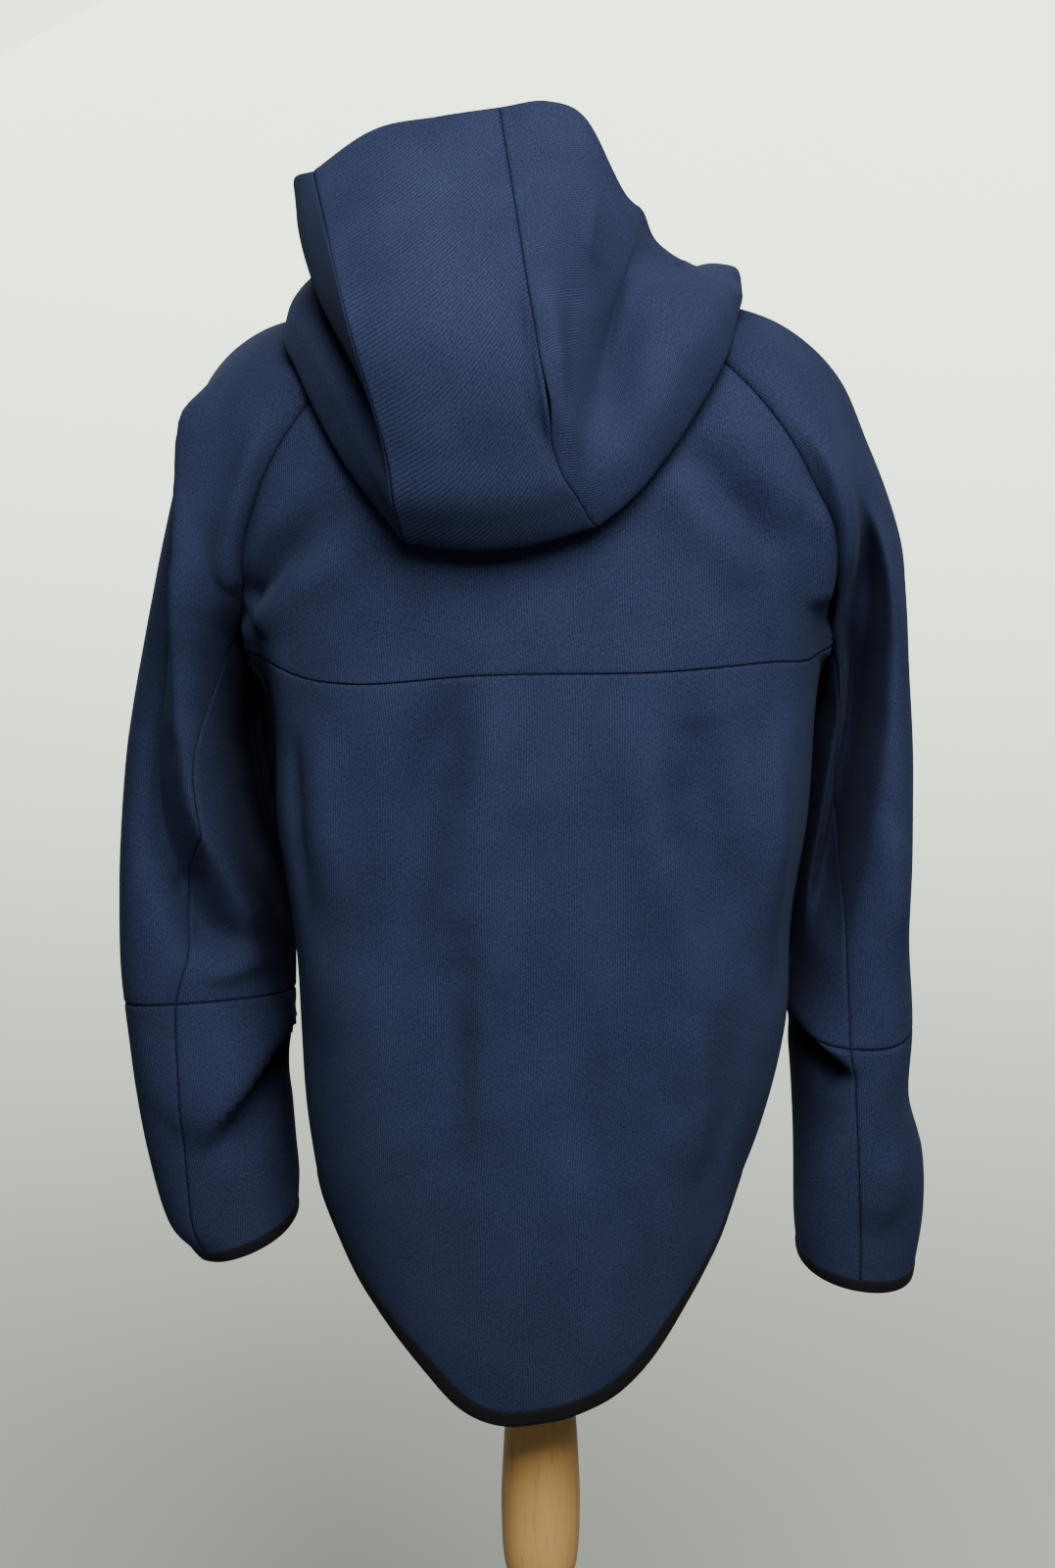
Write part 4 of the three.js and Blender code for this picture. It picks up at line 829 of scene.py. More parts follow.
def front_grid(sign):
    high = raglan_rows(raglan_front, dense(0, 1, 230, "10"))
    rows = np.concatenate([high, dense(RAGLAN_END, RAGLAN_END + 1, 400, "01")[1:]])
    u = dense(0, 1, 230)
    u, rows = np.meshgrid(u, rows)
    grid = front_point(sign, u, rows)
    return grid if sign > 0 else grid[:, ::-1]


def sleeve_grid(sleeve, rows, width, outer):
    q = dense(0, 2, width)
    past = np.maximum(rows - RAGLAN_END, 0)
    on_arm = rows > RAGLAN_END
    behind = np.where(on_arm, sleeve["tube"].at("split")(past)[:, 0], 0)[:, None]
    before = np.where(on_arm, FRONT_SPLIT.at("split")(past)[:, 0], 0)[:, None]
    first, second = np.clip(q, 0, 1), np.clip(q - 1, 0, 1)
    if outer:
        back = sleeve_point(sleeve, rows[:, None], 1, mix(behind, 1, first))
        front = sleeve_point(sleeve, rows[:, None], -1, mix(1, before, second))
        grid = np.where((q <= 1)[None, :, None], back, front)
    else:
        front = sleeve_point(sleeve, rows[:, None], -1, mix(before, 0, first))
        back = sleeve_point(sleeve, rows[:, None], 1, mix(0, behind, second))
        grid = np.where((q <= 1)[None, :, None], front, back)
    return grid[:, ::-1] if sleeve["side"] > 0 else grid


def hood_panel_grid(left, right, width):
    stations = dense(HOOD_NAMES.index(right), HOOD_NAMES.index(left), width)
    return hood_grid(dense(0, 1, 520), stations)


def cloth_grids():
    """Every panel's outer face: name, grid, and which of its edges turn in at a seam."""
    elbow = RAGLAN_END + ELBOW
    yield "back_yoke", yoke_grid(), "1111"
    yield "back_lower", back_grid(), "1011"
    yield "front_left", front_grid(1), "1011"
    yield "front_right", front_grid(-1), "1011"
    for side, sleeve in SLEEVES.items():
        cuff = RAGLAN_END + len(sleeve["tube"]) - 1
        high = dense(0, RAGLAN_END, 240, "10")
        rows = np.concatenate([high, dense(RAGLAN_END, elbow, 350, "01")[1:]])
        upper = sleeve_grid(sleeve, rows, 420, True)
        off_seam = ramp(np.minimum(*edge_distances(upper)[2:]) / RELAX["off_seam"])
        near_underarm = np.exp(-((rows - RAGLAN_END) / RELAX["rows"])**2)[:, None]
        relaxed = relax(upper, near_underarm * off_seam, RELAX["times"])
        yield f"sleeve_{side}_upper", relaxed, "1111"
        arm = dense(RAGLAN_END, elbow, 350)[2:]
        yield f"sleeve_{side}_under", sleeve_grid(sleeve, arm, 150, False), "1111"
        low = dense(elbow, cuff, 200)
        yield f"forearm_{side}_outer", sleeve_grid(sleeve, low, 200, True), "1011"
        yield f"forearm_{side}_under", sleeve_grid(sleeve, low, 150, False), "1011"
    yield "hood_left", hood_panel_grid("zip left", "seam left", 330), "1111"
    yield "hood_centre", hood_panel_grid("seam left", "seam right", 110), "1111"
    yield "hood_right", hood_panel_grid("seam right", "zip right", 420), "1111"


# ---- Bindings: elastic bands folded over the cloth's edge ----
# The band's section: how far out from the middle of the cloth, and how far below its edge
BAND = Table("out down", [
    (1.66, -2.0), (1.95, -2.1), (2.2, -1.6), (2.25, 1), (2.2, 5), (1.9, 7.4), (1.1, 8.8), (0, 9.3),
    (-1.1, 8.8), (-1.9, 7.4), (-2.2, 5), (-2.25, 1), (-2.2, -1.6), (-1.95, -2.1), (-1.66, -2.0),
    (-1.66, 0.15), (1.66, 0.15),
])
HEM_WIDE, CUFF_WIDE = 9.3, 7.3


def lower_edges(names):
    """The lower edge of panels side by side, and for each point the way out and the way down."""
    parts = []
    for name in names:
        _, outer, face = PANELS[name]
        parts.append(np.stack([outer[-1], face[-1], unit(outer[-1] - outer[-4])], 1)[1:-1])
    return np.concatenate(parts)


def evenly(line, step, loop):
    """A line's points and the directions with them, resampled step apart."""
    if loop:
        line = np.concatenate([line, line[:1]])
    along = run(line[:, 0])
    n = round(along[-1] / step)
    at = np.linspace(0, along[-1], n + 1)[:n if loop else n + 1]
    flat = line.reshape(len(line), -1)
    even = np.stack([np.interp(at, along, column) for column in flat.T], 1)
    return even.reshape(len(at), *line.shape[1:])


def add_rings(mesh, rings, loop=False):
    """Walls between rings of points, with both ends capped or joined to each other."""
    rings = [[mesh.verts.new(p) for p in ring] for ring in rings]
    for a, b in zip(rings, rings[1:] + rings[:loop]):
        for j in range(len(a)):
            mesh.faces.new((a[j - 1], b[j - 1], b[j], a[j]))
    if not loop:
        mesh.faces.new(rings[0])
        mesh.faces.new(rings[-1][::-1])


def finished(mesh, name, smooth=True):
    """Mesh data from a bmesh, with its faces turned outwards."""
    bmesh.ops.recalc_face_normals(mesh, faces=mesh.faces)
    data = bpy.data.meshes.new(name)
    mesh.to_mesh(data)
    mesh.free()
    if smooth:
        data.shade_smooth()
    return data


def tube(name, rings, slot, node, loop=False, split=None):
    """A closed piece through rings of points."""
    mesh = bmesh.new()
    add_rings(mesh, (rings * MM).tolist(), loop)
    data = finished(mesh, name)
    uv = np.broadcast_arrays(run(rings[:, 0])[:, None], run(rings[0])[None])
    lay_uv(data, np.stack(uv, -1).reshape(-1, 2))
    return add_piece(name, data, slot, [node], split=split)


def binding(name, node, panels, wide, loop):
    line = smoothed(evenly(lower_edges(panels), 3.0, loop), loop)
    edge, face, down = line[:, 0], unit(line[:, 1]), line[:, 2]
    along = np.roll(edge, -1, 0) - np.roll(edge, 1, 0) if loop else np.gradient(edge, axis=0)
    face = unit(np.cross(unit(along), np.cross(face, unit(along))))
    side = unit(np.cross(face, along))
    side *= np.sign((side * down).sum(1, keepdims=True))
    out, lower = np.moveaxis(BAND.get("out", "down"), -1, 0)
    lower = np.where(lower > 1, 1 + (lower - 1) * (wide - 1) / (HEM_WIDE - 1), lower)
    rings = (edge[:, None] + face[:, None] * (out - CLOTH / 2)[None, :, None]
             + side[:, None] * lower[None, :, None])
    return tube(name, rings, "binding", node, loop)


# ---- Zip ----
def zip_face(x, drop):
    """The fronts' outer face at a distance x from the centre line, and the hood's above it."""
    section = body_section(np.asarray(drop, float))
    angle = np.arcsin(np.abs(x) / (section[..., 0] * ZIP_SPREAD))
    body_y = section_point(section, math.pi - angle, drop)[..., 1]
    low, top = NECK_DROP["front"], HOOD_TOP
    station = max(0.0, (abs(x) - ZIP_HALF) / (HOOD[1][2][0] - ZIP_HALF))
    v = np.clip((low - np.asarray(drop, float)) / (low - top), 0, 1)
    hood_y = hood_grid(v, np.array([station]))[:, 0, 1]
    y = np.where(drop > low, body_y, hood_y)
    return np.stack([np.full_like(y, x), y, SHOULDER - drop], -1)


ZIP_BOTTOM, ZIP_TOP = 632, 15
SLIDER = {"tall": 11, "lug": 2.8, "bar": 0.9, "bar_long": 5, "sunk": 0.6}
# Its blocks: size and centre along x, y and z, and the radius of the edges. Two plates, the post
# between them, and on each side a cheek that holds the pull's bar and a wall beside the chain
SLIDER_BLOCKS = [
    ((6.6, 1.3, 11), (0, 3.45, 0), 0.55), ((6.6, 1.2, 11), (0, 6.8, 0), 0.5),
    ((2, 3.6, 3.4), (0, 5.1, 3.4), 0.4),
    ((0.9, 4.2, 3), (-2.4, 1.6, 0), 0.35), ((0.9, 3.6, 7.4), (-2.85, 5.1, -1.2), 0.3),
    ((0.9, 4.2, 3), (2.4, 1.6, 0), 0.35), ((0.9, 3.6, 7.4), (2.85, 5.1, -1.2), 0.3),
]
PULL = {"tall": 26, "thick": 1.6, "eye": 2.2, "hole": 1.4, "neck": 3, "end": 3, "bevel": 0.3,
        "face": 0.88, "below_eye": -2}      # its faces have this share of the outline
# Its right outline from the eye down, to where the round end begins
PULL_SIDE = [(1.15, -1.9), (1.15, -3.4), (1.65, -4.4), (2.7, -6.0), (3, -7.6), (3, -23)]
SLIDER_DROP = HOOD_TOP + ZIP["slider_at"]
TOOTH_PITCH = 1.7
# One tooth: half its outline from the root over the head, which starts at "head" and has its middle
# at "middle", and its layers: how deep each lies and how much of the full outline it has
TOOTH = {"outline": [(3.2, 0.4), (0.4, 0.4), (0.1, 0.55), (-0.45, 0.55), (-0.7, 0.2)],
         "middle": -0.2, "head": 0.2, "layers": [(-1.1, 0.8), (-0.85, 1), (0.85, 1), (1.1, 0.8)]}


def strip_nodes(node):
    return sorted(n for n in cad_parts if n.startswith(node))


def tape(name, node, sign):
    drops = np.linspace(ZIP_TOP, ZIP_BOTTOM, 124)
    x = np.linspace(ZIP["tape_from"], ZIP["tape_to"], 7) * sign
    depth = CLOTH + ZIP["clear"]
    columns = [zip_face(v, drops) + [0, depth, 0] for v in sorted(x)]
    grid = np.stack(columns, 1)
    nodes, thick = strip_nodes(node), ZIP["tape_thick"]
    return build(name, grid, normals(grid), "zip_tape", nodes, "0000", thick)[0]


def teeth():
    """Two rows of moulded teeth that mesh at the centre line."""
    half = TOOTH["outline"]
    plan = [(half[0][0], -half[0][1])] + half + [(x, -z) for x, z in half[:0:-1]]
    shape = np.array([[(x if x > TOOTH["head"] else mix(TOOTH["middle"], x, k), y, z * k)
                       for x, z in plan] for y, k in TOOTH["layers"]])
    top = SLIDER_DROP + SLIDER["tall"] / 2 + 1.4
    drops = np.arange(top, ZIP_BOTTOM - 1.0, TOOTH_PITCH / 2)
    centre = zip_face(0, drops) + [0, CLOTH + ZIP["clear"] + ZIP["tape_thick"] / 2, 0]
    mesh = bmesh.new()
    for i, at in enumerate(centre):
        add_rings(mesh, ((at + shape * [1 if i % 2 else -1, 1, 1]) * MM).tolist())
    data = finished(mesh, "zip_teeth", smooth=False)
    return add_piece("zip_teeth", data, "zip_teeth", strip_nodes("zip_chain"))


def rounded_box(mesh, size, centre, bevel):
    added = bmesh.ops.create_cube(mesh, size=1)["verts"]
    for v in added:
        v.co = Vector([c + s * k for c, s, k in zip(centre, size, v.co)])
    edges = {e for v in added for e in v.link_edges}
    bmesh.ops.bevel(mesh, geom=list(edges), offset=bevel, segments=3, profile=0.5, affect="EDGES")


def rod_along_x(mesh, r, length, sides=24):
    bmesh.ops.create_cone(mesh, cap_ends=True, segments=sides, radius1=r, radius2=r, depth=length,
                          matrix=Matrix.Rotation(math.pi / 2, 4, "Y"))


def metal_piece(mesh, name, node, body):
    """A zip part, moved from the bar's axis to its place on the front."""
    bmesh.ops.scale(mesh, vec=(MM, MM, MM), verts=mesh.verts)
    place = zip_face(0, np.array([SLIDER_DROP]))[0] + [0, SLIDER["sunk"] - SLIDER["lug"], 0]
    bmesh.ops.translate(mesh, vec=place * MM, verts=mesh.verts)
    return add_piece(name, finished(mesh, name), "zip_metal", [node], body, split=35)


def slider():
    mesh = bmesh.new()
    for block in SLIDER_BLOCKS:
        rounded_box(mesh, *block)
    rod_along_x(mesh, SLIDER["bar"], SLIDER["bar_long"])
    return metal_piece(mesh, "slider", "zip_slider", BODY_NAME)


def pull_tab():
    """A neck that widens into a plate with a round end, and an eye round the slider's bar."""
    mesh, thick, bevel, end = bmesh.new(), PULL["thick"] / 2, PULL["bevel"], PULL["end"]
    turn = np.linspace(0, -math.pi, 13)[1:-1]
    bottom = [(end * math.cos(a), end - PULL["tall"] + end * math.sin(a)) for a in turn]
    outline = PULL_SIDE + bottom + [(-x, z) for x, z in PULL_SIDE[::-1]]
    face, low = PULL["face"], PULL["below_eye"]
    levels = [(-thick, face), (-thick + bevel, 1), (thick - bevel, 1), (thick, face)]
    add_rings(mesh, [[(x * k, y, z if z > low else z - (1 - k) * low) for x, z in outline]
                     for y, k in levels])
    add_rings(mesh, eye(PULL["eye"], PULL["hole"], PULL["neck"] / 2), loop=True)
    return metal_piece(mesh, "pull_tab", "zip_pull", PULL_NAME)


def eye(r, hole, half, bevel=0.25, sides=28):
    """A ring round the bar with rounded edges."""
    section = [(r - bevel, -half), (r, bevel - half), (r, half - bevel), (r - bevel, half),
               (hole, half), (hole, -half)]
    turns = 2 * math.pi * np.arange(sides) / sides
    return [[(x, q * math.cos(a), q * math.sin(a)) for q, x in section] for a in turns]


# ---- Dress form and stand ----
def torso():
    drops = np.concatenate([np.linspace(606, 600, 4), np.linspace(594, 20, 82)[:-1],
                            np.linspace(20, -90, 34)])
    angle = np.linspace(0, 2 * math.pi, 97)[:-1]
    rings = section_point(form_section(drops)[:, None], angle[None], drops[:, None])
    return tube("torso", rings, "form_jersey", "form_torso")


def lathe(name, node, heights_mm, radii, slot, sides=72):
    angle = np.linspace(0, 2 * math.pi, sides + 1)[:-1]
    x, y = radii[:, None] * np.cos(angle), radii[:, None] * np.sin(angle)
    rings = np.stack(np.broadcast_arrays(x, y, heights_mm[:, None]), -1)
    return tube(name, rings, slot, node, split=40)


def post():
    z = np.sort(np.concatenate([POST.get("z")[:, 0], np.linspace(30.3, 693.6, 150)]))[::-1]
    return lathe("post", "stand_post", z, POST.by("z", "r")(z)[:, 0], "beech")


def base():
    r, edge, curve, top, low, flat = BASE.values()
    corner = np.linspace(0, math.pi / 2, 8)
    foot = [(r - low + low * math.sin(a), low - low * math.cos(a)) for a in corner]
    shoulder = [(r - curve + curve * math.cos(a), edge + curve * math.sin(a)) for a in corner]
    slope = [(mix(r - curve, flat, t), mix(edge + curve, top, math.sin(t * math.pi / 2)))
             for t in (0.25, 0.5, 0.75, 1)]
    profile = np.array(foot + shoulder + slope)
    return lathe("base", "stand_base", profile[:, 1], profile[:, 0], "beech", 120)


# ---- Materials ----
WAVE_PERIOD = 2 * math.pi / 20      # of a wave texture at scale 1
# The dark and the light colour of each material, and the height of its relief in metres
DYES = {
    "fleece": ((0.0085, 0.0125, 0.035), (0.041, 0.055, 0.122), 0.0005),
    "binding": ((0.003, 0.003, 0.0045), (0.012, 0.0125, 0.0165), 0.0004),
    "zip_tape": ((0.008, 0.01, 0.016), (0.026, 0.03, 0.045), 0.0003),
    "zip_teeth": ((0.008, 0.009, 0.013), (0.018, 0.02, 0.028), 0.0002),
    "zip_metal": ((0.34, 0.35, 0.38), (0.5, 0.51, 0.54), 0.0001),
    "jersey": ((0.53, 0.47, 0.36), (0.76, 0.71, 0.6), 0.0005),
    "beech": ((0.50, 0.262, 0.068), (0.74, 0.45, 0.15), 0.0008),
}
# Near-black navy painted into the fleece's folds and seams as shade
HOLLOW_SHADE_COLOUR = (0.001, 0.0015, 0.004)
FLECK_DYE = (0.25, 0.115, 0.035)


class Nodes:
    """A short way to lay out a material's nodes."""

    def __init__(self, name):
        self.material = bpy.data.materials.new(name)
        self.material.use_nodes = True
        self.tree = self.material.node_tree
        self.shader = self.tree.nodes["Principled BSDF"]

    def put(self, node, inputs):
        for key, value in inputs.items():
            if isinstance(value, bpy.types.NodeSocket):
                self.tree.links.new(value, node.inputs[key])
            else:
                node.inputs[key].default_value = value

    def add(self, kind, output, inputs=(), **settings):
        """One output of a new node."""
        node = self.tree.nodes.new("ShaderNode" + kind)
        for key, value in settings.items():
            setattr(node, key, value)
        self.put(node, dict(inputs))
        return node.outputs[output]

    def set(self, **inputs):
        self.put(self.shader, {key.replace("_", " "): value for key, value in inputs.items()})

    def cloth_uv(self, turn=0.0, scale=(1, 1, 1)):
        uv = self.add("UVMap", "UV", uv_map="cloth")
        turned_to = (0, 0, turn)
        return self.add("Mapping", "Vector", {"Vector": uv, "Rotation": turned_to, "Scale": scale})

    def place(self, scale=(1, 1, 1)):
        spot = self.add("TexCoord", "Object")
        return self.add("Mapping", "Vector", {"Vector": spot, "Scale": scale})

    def noise(self, vector, scale=1.0, detail=2.0, rough=0.5):
        return self.add("TexNoise", "Fac", {"Vector": vector, "Scale": scale, "Detail": detail,
                                            "Roughness": rough})

    def specks(self, wide, long, turn=0.0, detail=2.0, rough=0.6):
        """Noise on the cloth, its specks so wide and long in metres."""
        return self.noise(self.cloth_uv(turn, (1 / wide, 1 / long, 1)), 1.0, detail, rough)

    def ribs(self, vector, pitch, distortion, detail=1.0, fine=1.0, **settings):
        return self.add("TexWave", "Fac", {"Vector": vector, "Scale": WAVE_PERIOD / pitch,
                                           "Distortion": distortion, "Detail": detail,
                                           "Detail Scale": fine}, **settings)

    def span(self, value, low, high, start=0.0, end=1.0, **settings):
        """A value from start to end, brought to the span from low to high."""
        return self.add("MapRange", "Result", {"Value": value, "From Min": start, "From Max": end,
                                               "To Min": low, "To Max": high}, **settings)

    def math(self, how, a, b):
        return self.add("Math", "Value", {0: a, 1: b}, operation=how)

    def sum(self, *parts):
        """The sum of (value, weight) pairs."""
        weighted = [self.math("MULTIPLY", *part) for part in parts]
        return reduce(lambda a, b: self.math("ADD", a, b), weighted)

    def blend(self, factor, *colours):
        a, b = ((*c, 1) if isinstance(c, tuple) else c for c in colours)
        return self.add("Mix", "Result", {"Factor": factor, "A": a, "B": b}, data_type="RGBA")

    def relief(self, height, strength, distance):
        self.set(Normal=self.add("Bump", "Normal", {"Height": height, "Strength": strength,
                                                    "Distance": distance}))


def fleece_material(name, pitch, turn, ribs, depth=0.06):
    """Fleece with fine ribs: their pitch in metres, their turn, and how strongly they show. Deep in its
    folds and seams, within depth metres of other cloth, painted shade from an ambient occlusion node darkens
    the colour towards near black."""
    m, (dark, light, deep) = Nodes(name), DYES["fleece"]
    wave = m.ribs(m.cloth_uv(turn), pitch, 2.2, 2.0, 0.35)
    streaks = m.specks(0.0011, 0.0045, turn, 3.0)
    nap = m.specks(0.0007, 0.0007)
    yarn = m.span(m.specks(0.0011, 0.0019, turn, 1.0, 0.5), 0.0, 1.0, 0.36, 0.64)
    patches = m.noise(m.place(), 22.0)
    ribbed = m.math("MULTIPLY", wave, m.math("MULTIPLY", patches, ribs))
    level = m.sum((streaks, 0.25), (ribbed, 0.55), (yarn, 0.38),
                  (m.math("SUBTRACT", patches, 0.5), 0.15))
    # Painted shade: ambient occlusion darkens the colour near other cloth, in folds, seams and under the hood
    hollow = m.add("AmbientOcclusion", "AO", {"Distance": depth}, samples=2)
    colour = m.blend(m.span(hollow, 0.0, 1.0, 0.25, 0.75), HOLLOW_SHADE_COLOUR, m.blend(level, dark, light))
    m.set(Base_Color=colour, Roughness=0.92, Sheen_Roughness=0.42, Sheen_Weight=0.05,
          Sheen_Tint=(0.45, 0.6, 1.0, 1), Specular_IOR_Level=0.08)
    m.relief(m.sum((ribbed, 1.0), (nap, 0.7), (streaks, 0.6)), 0.55, deep)
    return m.material


def woven_material(name, turn, pitch, distortion, specks, strength, **looks):
    """Ribs and specks of yarn: how the ribs turn, their pitch, and the specks' size in metres."""
    m, (dark, light, deep) = Nodes(name), DYES[name]
    level = m.sum((m.ribs(m.cloth_uv(turn), pitch, distortion), 0.5), (m.specks(*specks), 0.5))
    m.set(Base_Color=m.blend(level, dark, light), **looks)
    m.relief(level, strength, deep)
    return m.material


def binding_material():
    return woven_material("binding", math.pi / 2, 0.0011, 0.6, (0.0016, 0.0009), 0.5, Roughness=0.8,
                          Sheen_Weight=0.03, Sheen_Roughness=0.4, Specular_IOR_Level=0.15)


def tape_material():
    return woven_material("zip_tape", math.pi / 4, 0.0009, 0.8, (0.0006, 0.0006), 0.4,
                          Roughness=0.75, Sheen_Weight=0.1)


def teeth_material():
    m, (dark, light, deep) = Nodes("zip_teeth"), DYES["zip_teeth"]
    grain = m.noise(m.place(), 900.0)
    m.set(Base_Color=m.blend(grain, dark, light), Roughness=m.span(grain, 0.32, 0.5))
    m.relief(grain, 0.1, deep)
    return m.material


def metal_material():
    m, (dark, light, deep) = Nodes("zip_metal"), DYES["zip_metal"]
    brushed = m.noise(m.place((2600, 2600, 160)), 1.0, 3.0, 0.6)
    wear = m.noise(m.place(), 420.0, 3.0, 0.6)
    m.set(Base_Color=m.blend(wear, dark, light), Metallic=1.0,
          Roughness=m.span(brushed, 0.22, 0.42))
    m.relief(brushed, 0.12, deep)
    return m.material


def jersey_material():
    m, (dark, light, deep) = Nodes("form_jersey"), DYES["jersey"]
    knit, rows = (m.ribs(m.place(), pitch, 1.2, 1.0, 0.6, bands_direction=way)
                  for pitch, way in ((0.0016, "X"), (0.0012, "Z")))
    slub = m.noise(m.place((1, 1, 0.2)), 260.0, 3.0, 0.6)
    level = m.sum((m.math("MULTIPLY", knit, rows), 0.5), (slub, 0.5))
    m.set(Base_Color=m.blend(level, dark, light), Roughness=0.85, Sheen_Weight=0.2,
          Sheen_Roughness=0.5)
    m.relief(level, 0.35, deep)
    return m.material


def beech_material():
    m, (dark, light, deep) = Nodes("beech"), DYES["beech"]
    rings = m.noise(m.place((26, 26, 1.6)), 1.0, 4.0, 0.6)
    flecks = m.noise(m.place((420, 420, 26)))
    speck = m.math("MULTIPLY", m.span(flecks, 0.0, 1.0, 0.56, 0.72), 0.35)
    m.set(Base_Color=m.blend(speck, m.blend(rings, dark, light), FLECK_DYE), Coat_Weight=0.25,
          Coat_Roughness=0.25, Roughness=m.span(rings, 0.32, 0.5))
    m.relief(m.sum((rings, 0.6), (flecks, 0.4)), 0.12, deep)
    return m.material


def paint(piece, material):
    piece.data.materials.clear()
    piece.data.materials.append(material)


# ---- Making the pieces ----
made = list(cloth_grids())
grids = shapes({name: inset(grid) for name, grid, _ in made})
ways = shared_normals(grids, {name: normals(grid) for name, grid in grids.items()})
PANELS = {name: build(name + "_cloth", grids[name], ways[name], "fleece", [name], edges)
          for name, _, edges in made}

fleece = fleece_material("fleece", 0.0017, 0, 1.0)
# The hood and the yoke take less painted shade: their occlusion reaches only 12 mm
twill = fleece_material("fleece_hood_centre", 0.0024, math.radians(52), 1.1, 0.012)
cross = fleece_material("fleece_hood_sides", 0.0019, math.radians(90), 1.1, 0.012)
yoke = fleece_material("fleece_yoke", 0.0017, 0, 1.0, 0.012)
LOOKS = {"hood_centre": twill, "hood_left": cross, "hood_right": cross, "back_yoke": yoke}
for name, (piece, _, _) in PANELS.items():
    paint(piece, LOOKS.get(name, fleece))

hem = ["front_left", "back_lower", "front_right"]
bands = [binding("hem_band", "hem_binding", hem, HEM_WIDE, False)]
for side in SLEEVES:
    cuff = [f"forearm_{side}_under", f"forearm_{side}_outer"]
    bands.append(binding(f"cuff_{side}_band", f"cuff_{side}_binding", cuff, CUFF_WIDE, True))
for piece in bands:
    paint(piece, binding_material())
for side, sleeve in SLEEVES.items():
    paint(tape(f"tape_{side}", f"zip_tape_{side}", sleeve["side"]), tape_material())
paint(teeth(), teeth_material())
metal = metal_material()
paint(slider(), metal)
paint(pull_tab(), metal)
paint(torso(), jersey_material())
wood = beech_material()
paint(post(), wood)
paint(base(), wood)


# ---- The cuts ----
# Each sheet's width and length in mm and flat area in cm2, none for a rectangle, how it is held,
# and what it rests on
CUTS = [
    ("back_yoke", 470, 330, 950, "draped", ["torso"]),
    ("back_lower", 570, 500, 2110, "hung", ["torso", "back_yoke"]),
    ("front_left", 280, 660, 1285, "hung", ["torso"]),
    ("front_right", 280, 660, 1275, "hung", ["torso"]),
    ("sleeve_left_upper", 410, 640, 1460, "hung", ["back_yoke", "front_left"]),
    ("sleeve_left_under", 200, 330, 445, "hung", ["sleeve_left_upper"]),
    ("forearm_left_outer", 180, 190, 275, "hung", ["sleeve_left_upper"]),
    ("forearm_left_under", 180, 195, 270, "hung", ["sleeve_left_under"]),
    ("sleeve_right_upper", 410, 640, 1460, "hung", ["back_yoke", "front_right"]),
    ("sleeve_right_under", 160, 330, 335, "hung", ["sleeve_right_upper"]),
    ("forearm_right_outer", 185, 180, 295, "hung", ["sleeve_right_upper"]),
    ("forearm_right_under", 147, 190, 220, "hung", ["sleeve_right_under"]),
    ("hood_left", 420, 330, 615, "draped", ["back_yoke", "front_left"]),
    ("hood_centre", 157, 555, 710, "draped", ["back_yoke"]),
    ("hood_right", 430, 360, 710, "draped", ["back_yoke", "front_right"]),
    ("hem_band", 17, 935, None, "hung", ["back_lower", "front_left", "front_right"]),
    ("cuff_left_band", 14, 244, None, "hung", ["forearm_left_outer", "forearm_left_under"]),
    ("cuff_right_band", 14, 260, None, "hung", ["forearm_right_outer", "forearm_right_under"]),
    ("tape_left", 12.4, 617, None, "hung", ["front_left"]),
    ("tape_right", 12.4, 617, None, "hung", ["front_right"]),
]
for name, wide, long, area, held, on in CUTS:
    name, *on = (part + "_cloth" if part in PANELS else part for part in (name, *on))
    area and area * CM2
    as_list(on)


# ---- Stage, lights and camera ----
WALL = {"half": 4.0, "near": 3.0, "back": -1.6, "high": 4.0, "bend": 0.8}
PALE = ((0.76, 0.79, 0.72), (0.82, 0.85, 0.78))     # as the camera sees the wall
PLAIN = (0.25, 0.26, 0.25)                          # as it lights the garment
# colour of the wall's painted light
GLOW = (0.70, 0.80, 0.62, 1)
LIGHTS = {     # place, aim, power, size and colour of each soft light
    "key": ((-0.3, 1.7, 2.35), (0, 0, 1.1), 86, 1.5, (1.0, 0.98, 0.95)),
    "front": ((0.6, -1.45, 2.2), (0, 0, 1.1), 25, 1.4, (0.95, 0.98, 1.0)),
}
WORLD = {"light": ((0.9, 0.95, 0.92, 1), 0.05), "seen": ((0.84, 0.86, 0.81, 1), 1.0)}
CAMERA = {"place": (0.0093, 1.8, 0.972), "lens": 58.7}


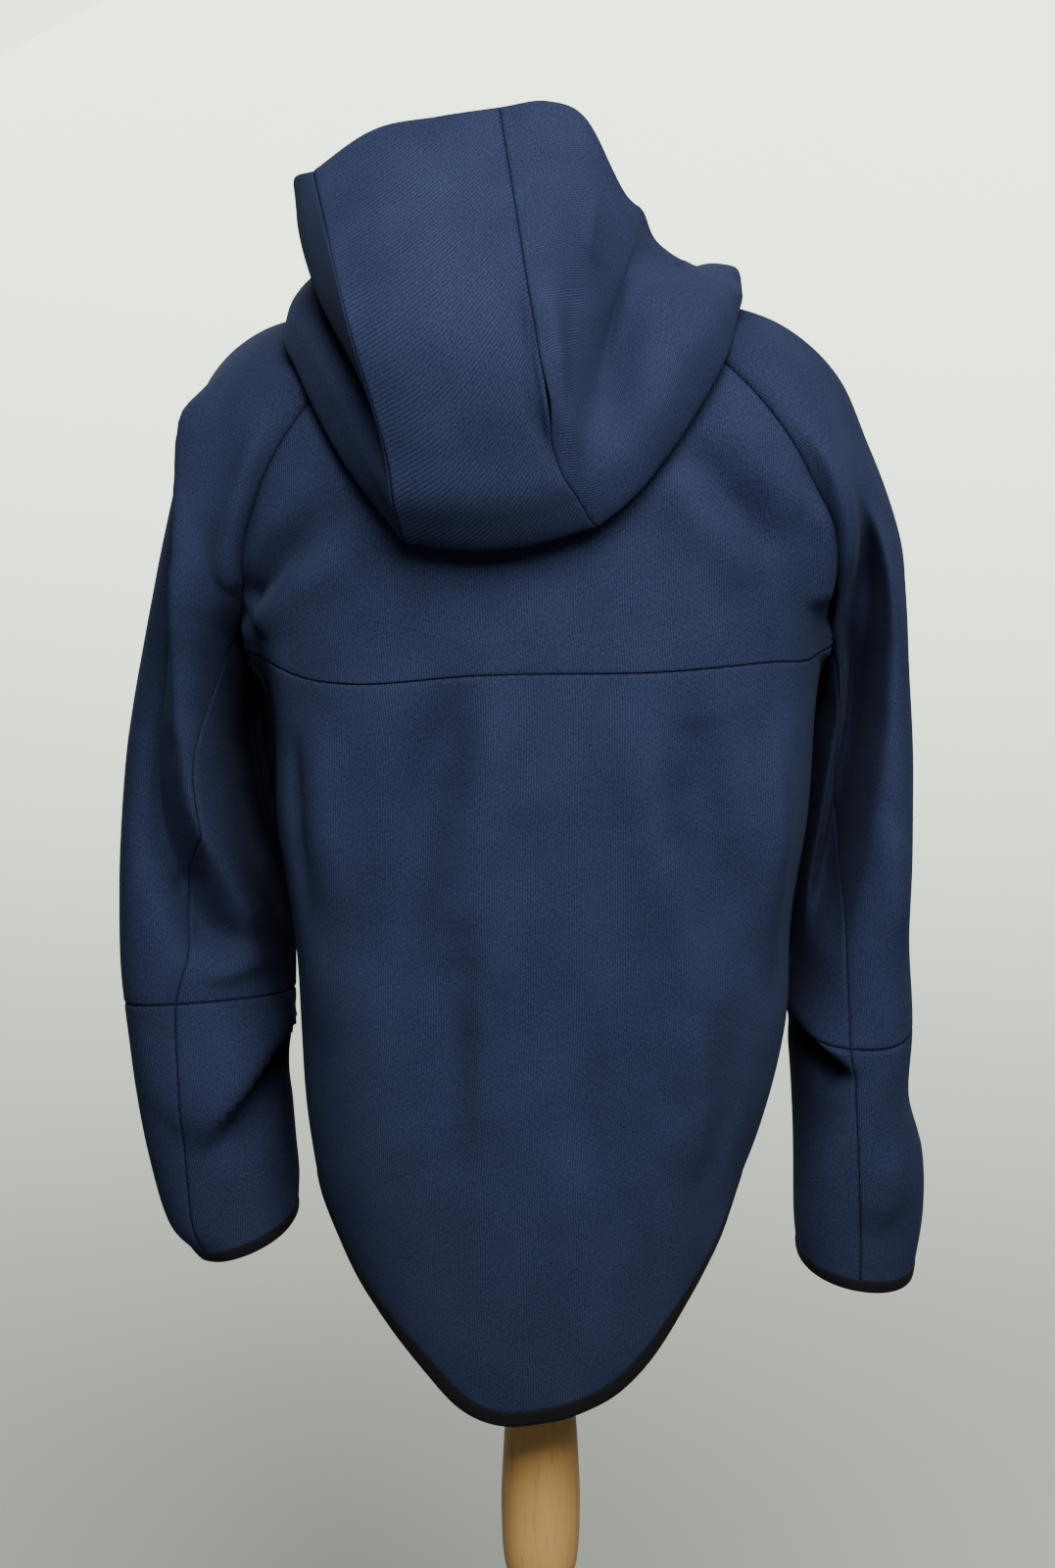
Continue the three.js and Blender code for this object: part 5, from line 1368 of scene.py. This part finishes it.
def wall_material():
    """A pale wall that glows towards the camera only, with painted light brighter high up and to one side,
    and that is not seen from behind.
    """
    m = Nodes("wall")
    pale = m.blend(m.noise(m.place(), 1.3), *PALE)
    seen = m.add("LightPath", "Is Camera Ray")
    # Painted light: the glow grows with height and changes from side to side, as if lamps lit the wall from
    # above
    high = m.span(m.add("SeparateXYZ", "Z", {"Vector": m.place()}), 0.06, 3.4, 0.1, 1.9,
                  interpolation_type="SMOOTHSTEP")
    side = m.span(m.add("SeparateXYZ", "X", {"Vector": m.place()}), 1.1, 0.9, -1.2, 1.2)
    m.set(Base_Color=m.blend(seen, PLAIN, pale), Roughness=0.9, Emission_Color=GLOW,
          Emission_Strength=m.math("MULTIPLY", m.math("MULTIPLY", high, side), seen))
    one_sided = m.add("MixShader", "Shader", {0: m.add("NewGeometry", "Backfacing"),
                                              1: m.shader.outputs["BSDF"],
                                              2: m.add("BsdfTransparent", "BSDF")})
    m.put(m.tree.nodes["Material Output"], {"Surface": one_sided})
    return m.material


def stage():
    half, near, back, high, bend = (WALL[k] for k in ("half", "near", "back", "high", "bend"))
    turn = np.linspace(0, math.pi / 2, 13)
    curve = [(back + bend * (1 - math.sin(a)), bend * (1 - math.cos(a))) for a in turn]
    rows = [(near, 0.0), *curve, (back, high)]
    points = [(x, y, z) for y, z in rows for x in (-half, half)]
    faces = [(2 * i, 2 * i + 2, 2 * i + 3, 2 * i + 1) for i in range(len(rows) - 1)]
    mesh = bpy.data.meshes.new("floor")
    mesh.from_pydata(points, [], faces)
    mesh.shade_smooth()
    mesh.materials.append(wall_material())
    linked("floor_and_wall", mesh)


def area_light(name, place, aim, power, size, colour):
    data = bpy.data.lights.new(name, "AREA")
    data.energy, data.size, data.color = power, size, colour
    lamp = linked(name, data)
    lamp.location = place
    lamp.rotation_euler = (Vector(aim) - Vector(place)).to_track_quat("-Z", "Y").to_euler()


def even_light():
    """A dim light from all round, and a pale background that only the camera sees."""
    world = bpy.data.worlds.new("studio")
    bpy.context.scene.world = world
    world.use_nodes = True
    tree = world.node_tree
    beyond, seen, either = (tree.nodes.new("ShaderNode" + kind)
                            for kind in ("Background", "LightPath", "MixShader"))
    dim = tree.nodes["Background"]
    for node, (colour, strength) in ((dim, WORLD["light"]), (beyond, WORLD["seen"])):
        node.inputs["Color"].default_value = colour
        node.inputs["Strength"].default_value = strength
    sources = (seen.outputs["Is Camera Ray"], dim.outputs[0], beyond.outputs[0])
    for source, socket in zip(sources, either.inputs):
        tree.links.new(source, socket)
    tree.links.new(either.outputs[0], tree.nodes["World Output"].inputs["Surface"])


stage()
for name, settings in LIGHTS.items():
    area_light(name, *settings)
even_light()
camera = linked("camera", bpy.data.cameras.new("camera"))
camera.data.lens = CAMERA["lens"]
camera.location = CAMERA["place"]
camera.rotation_euler = (math.pi / 2, 0, math.pi)
bpy.context.scene.camera = camera
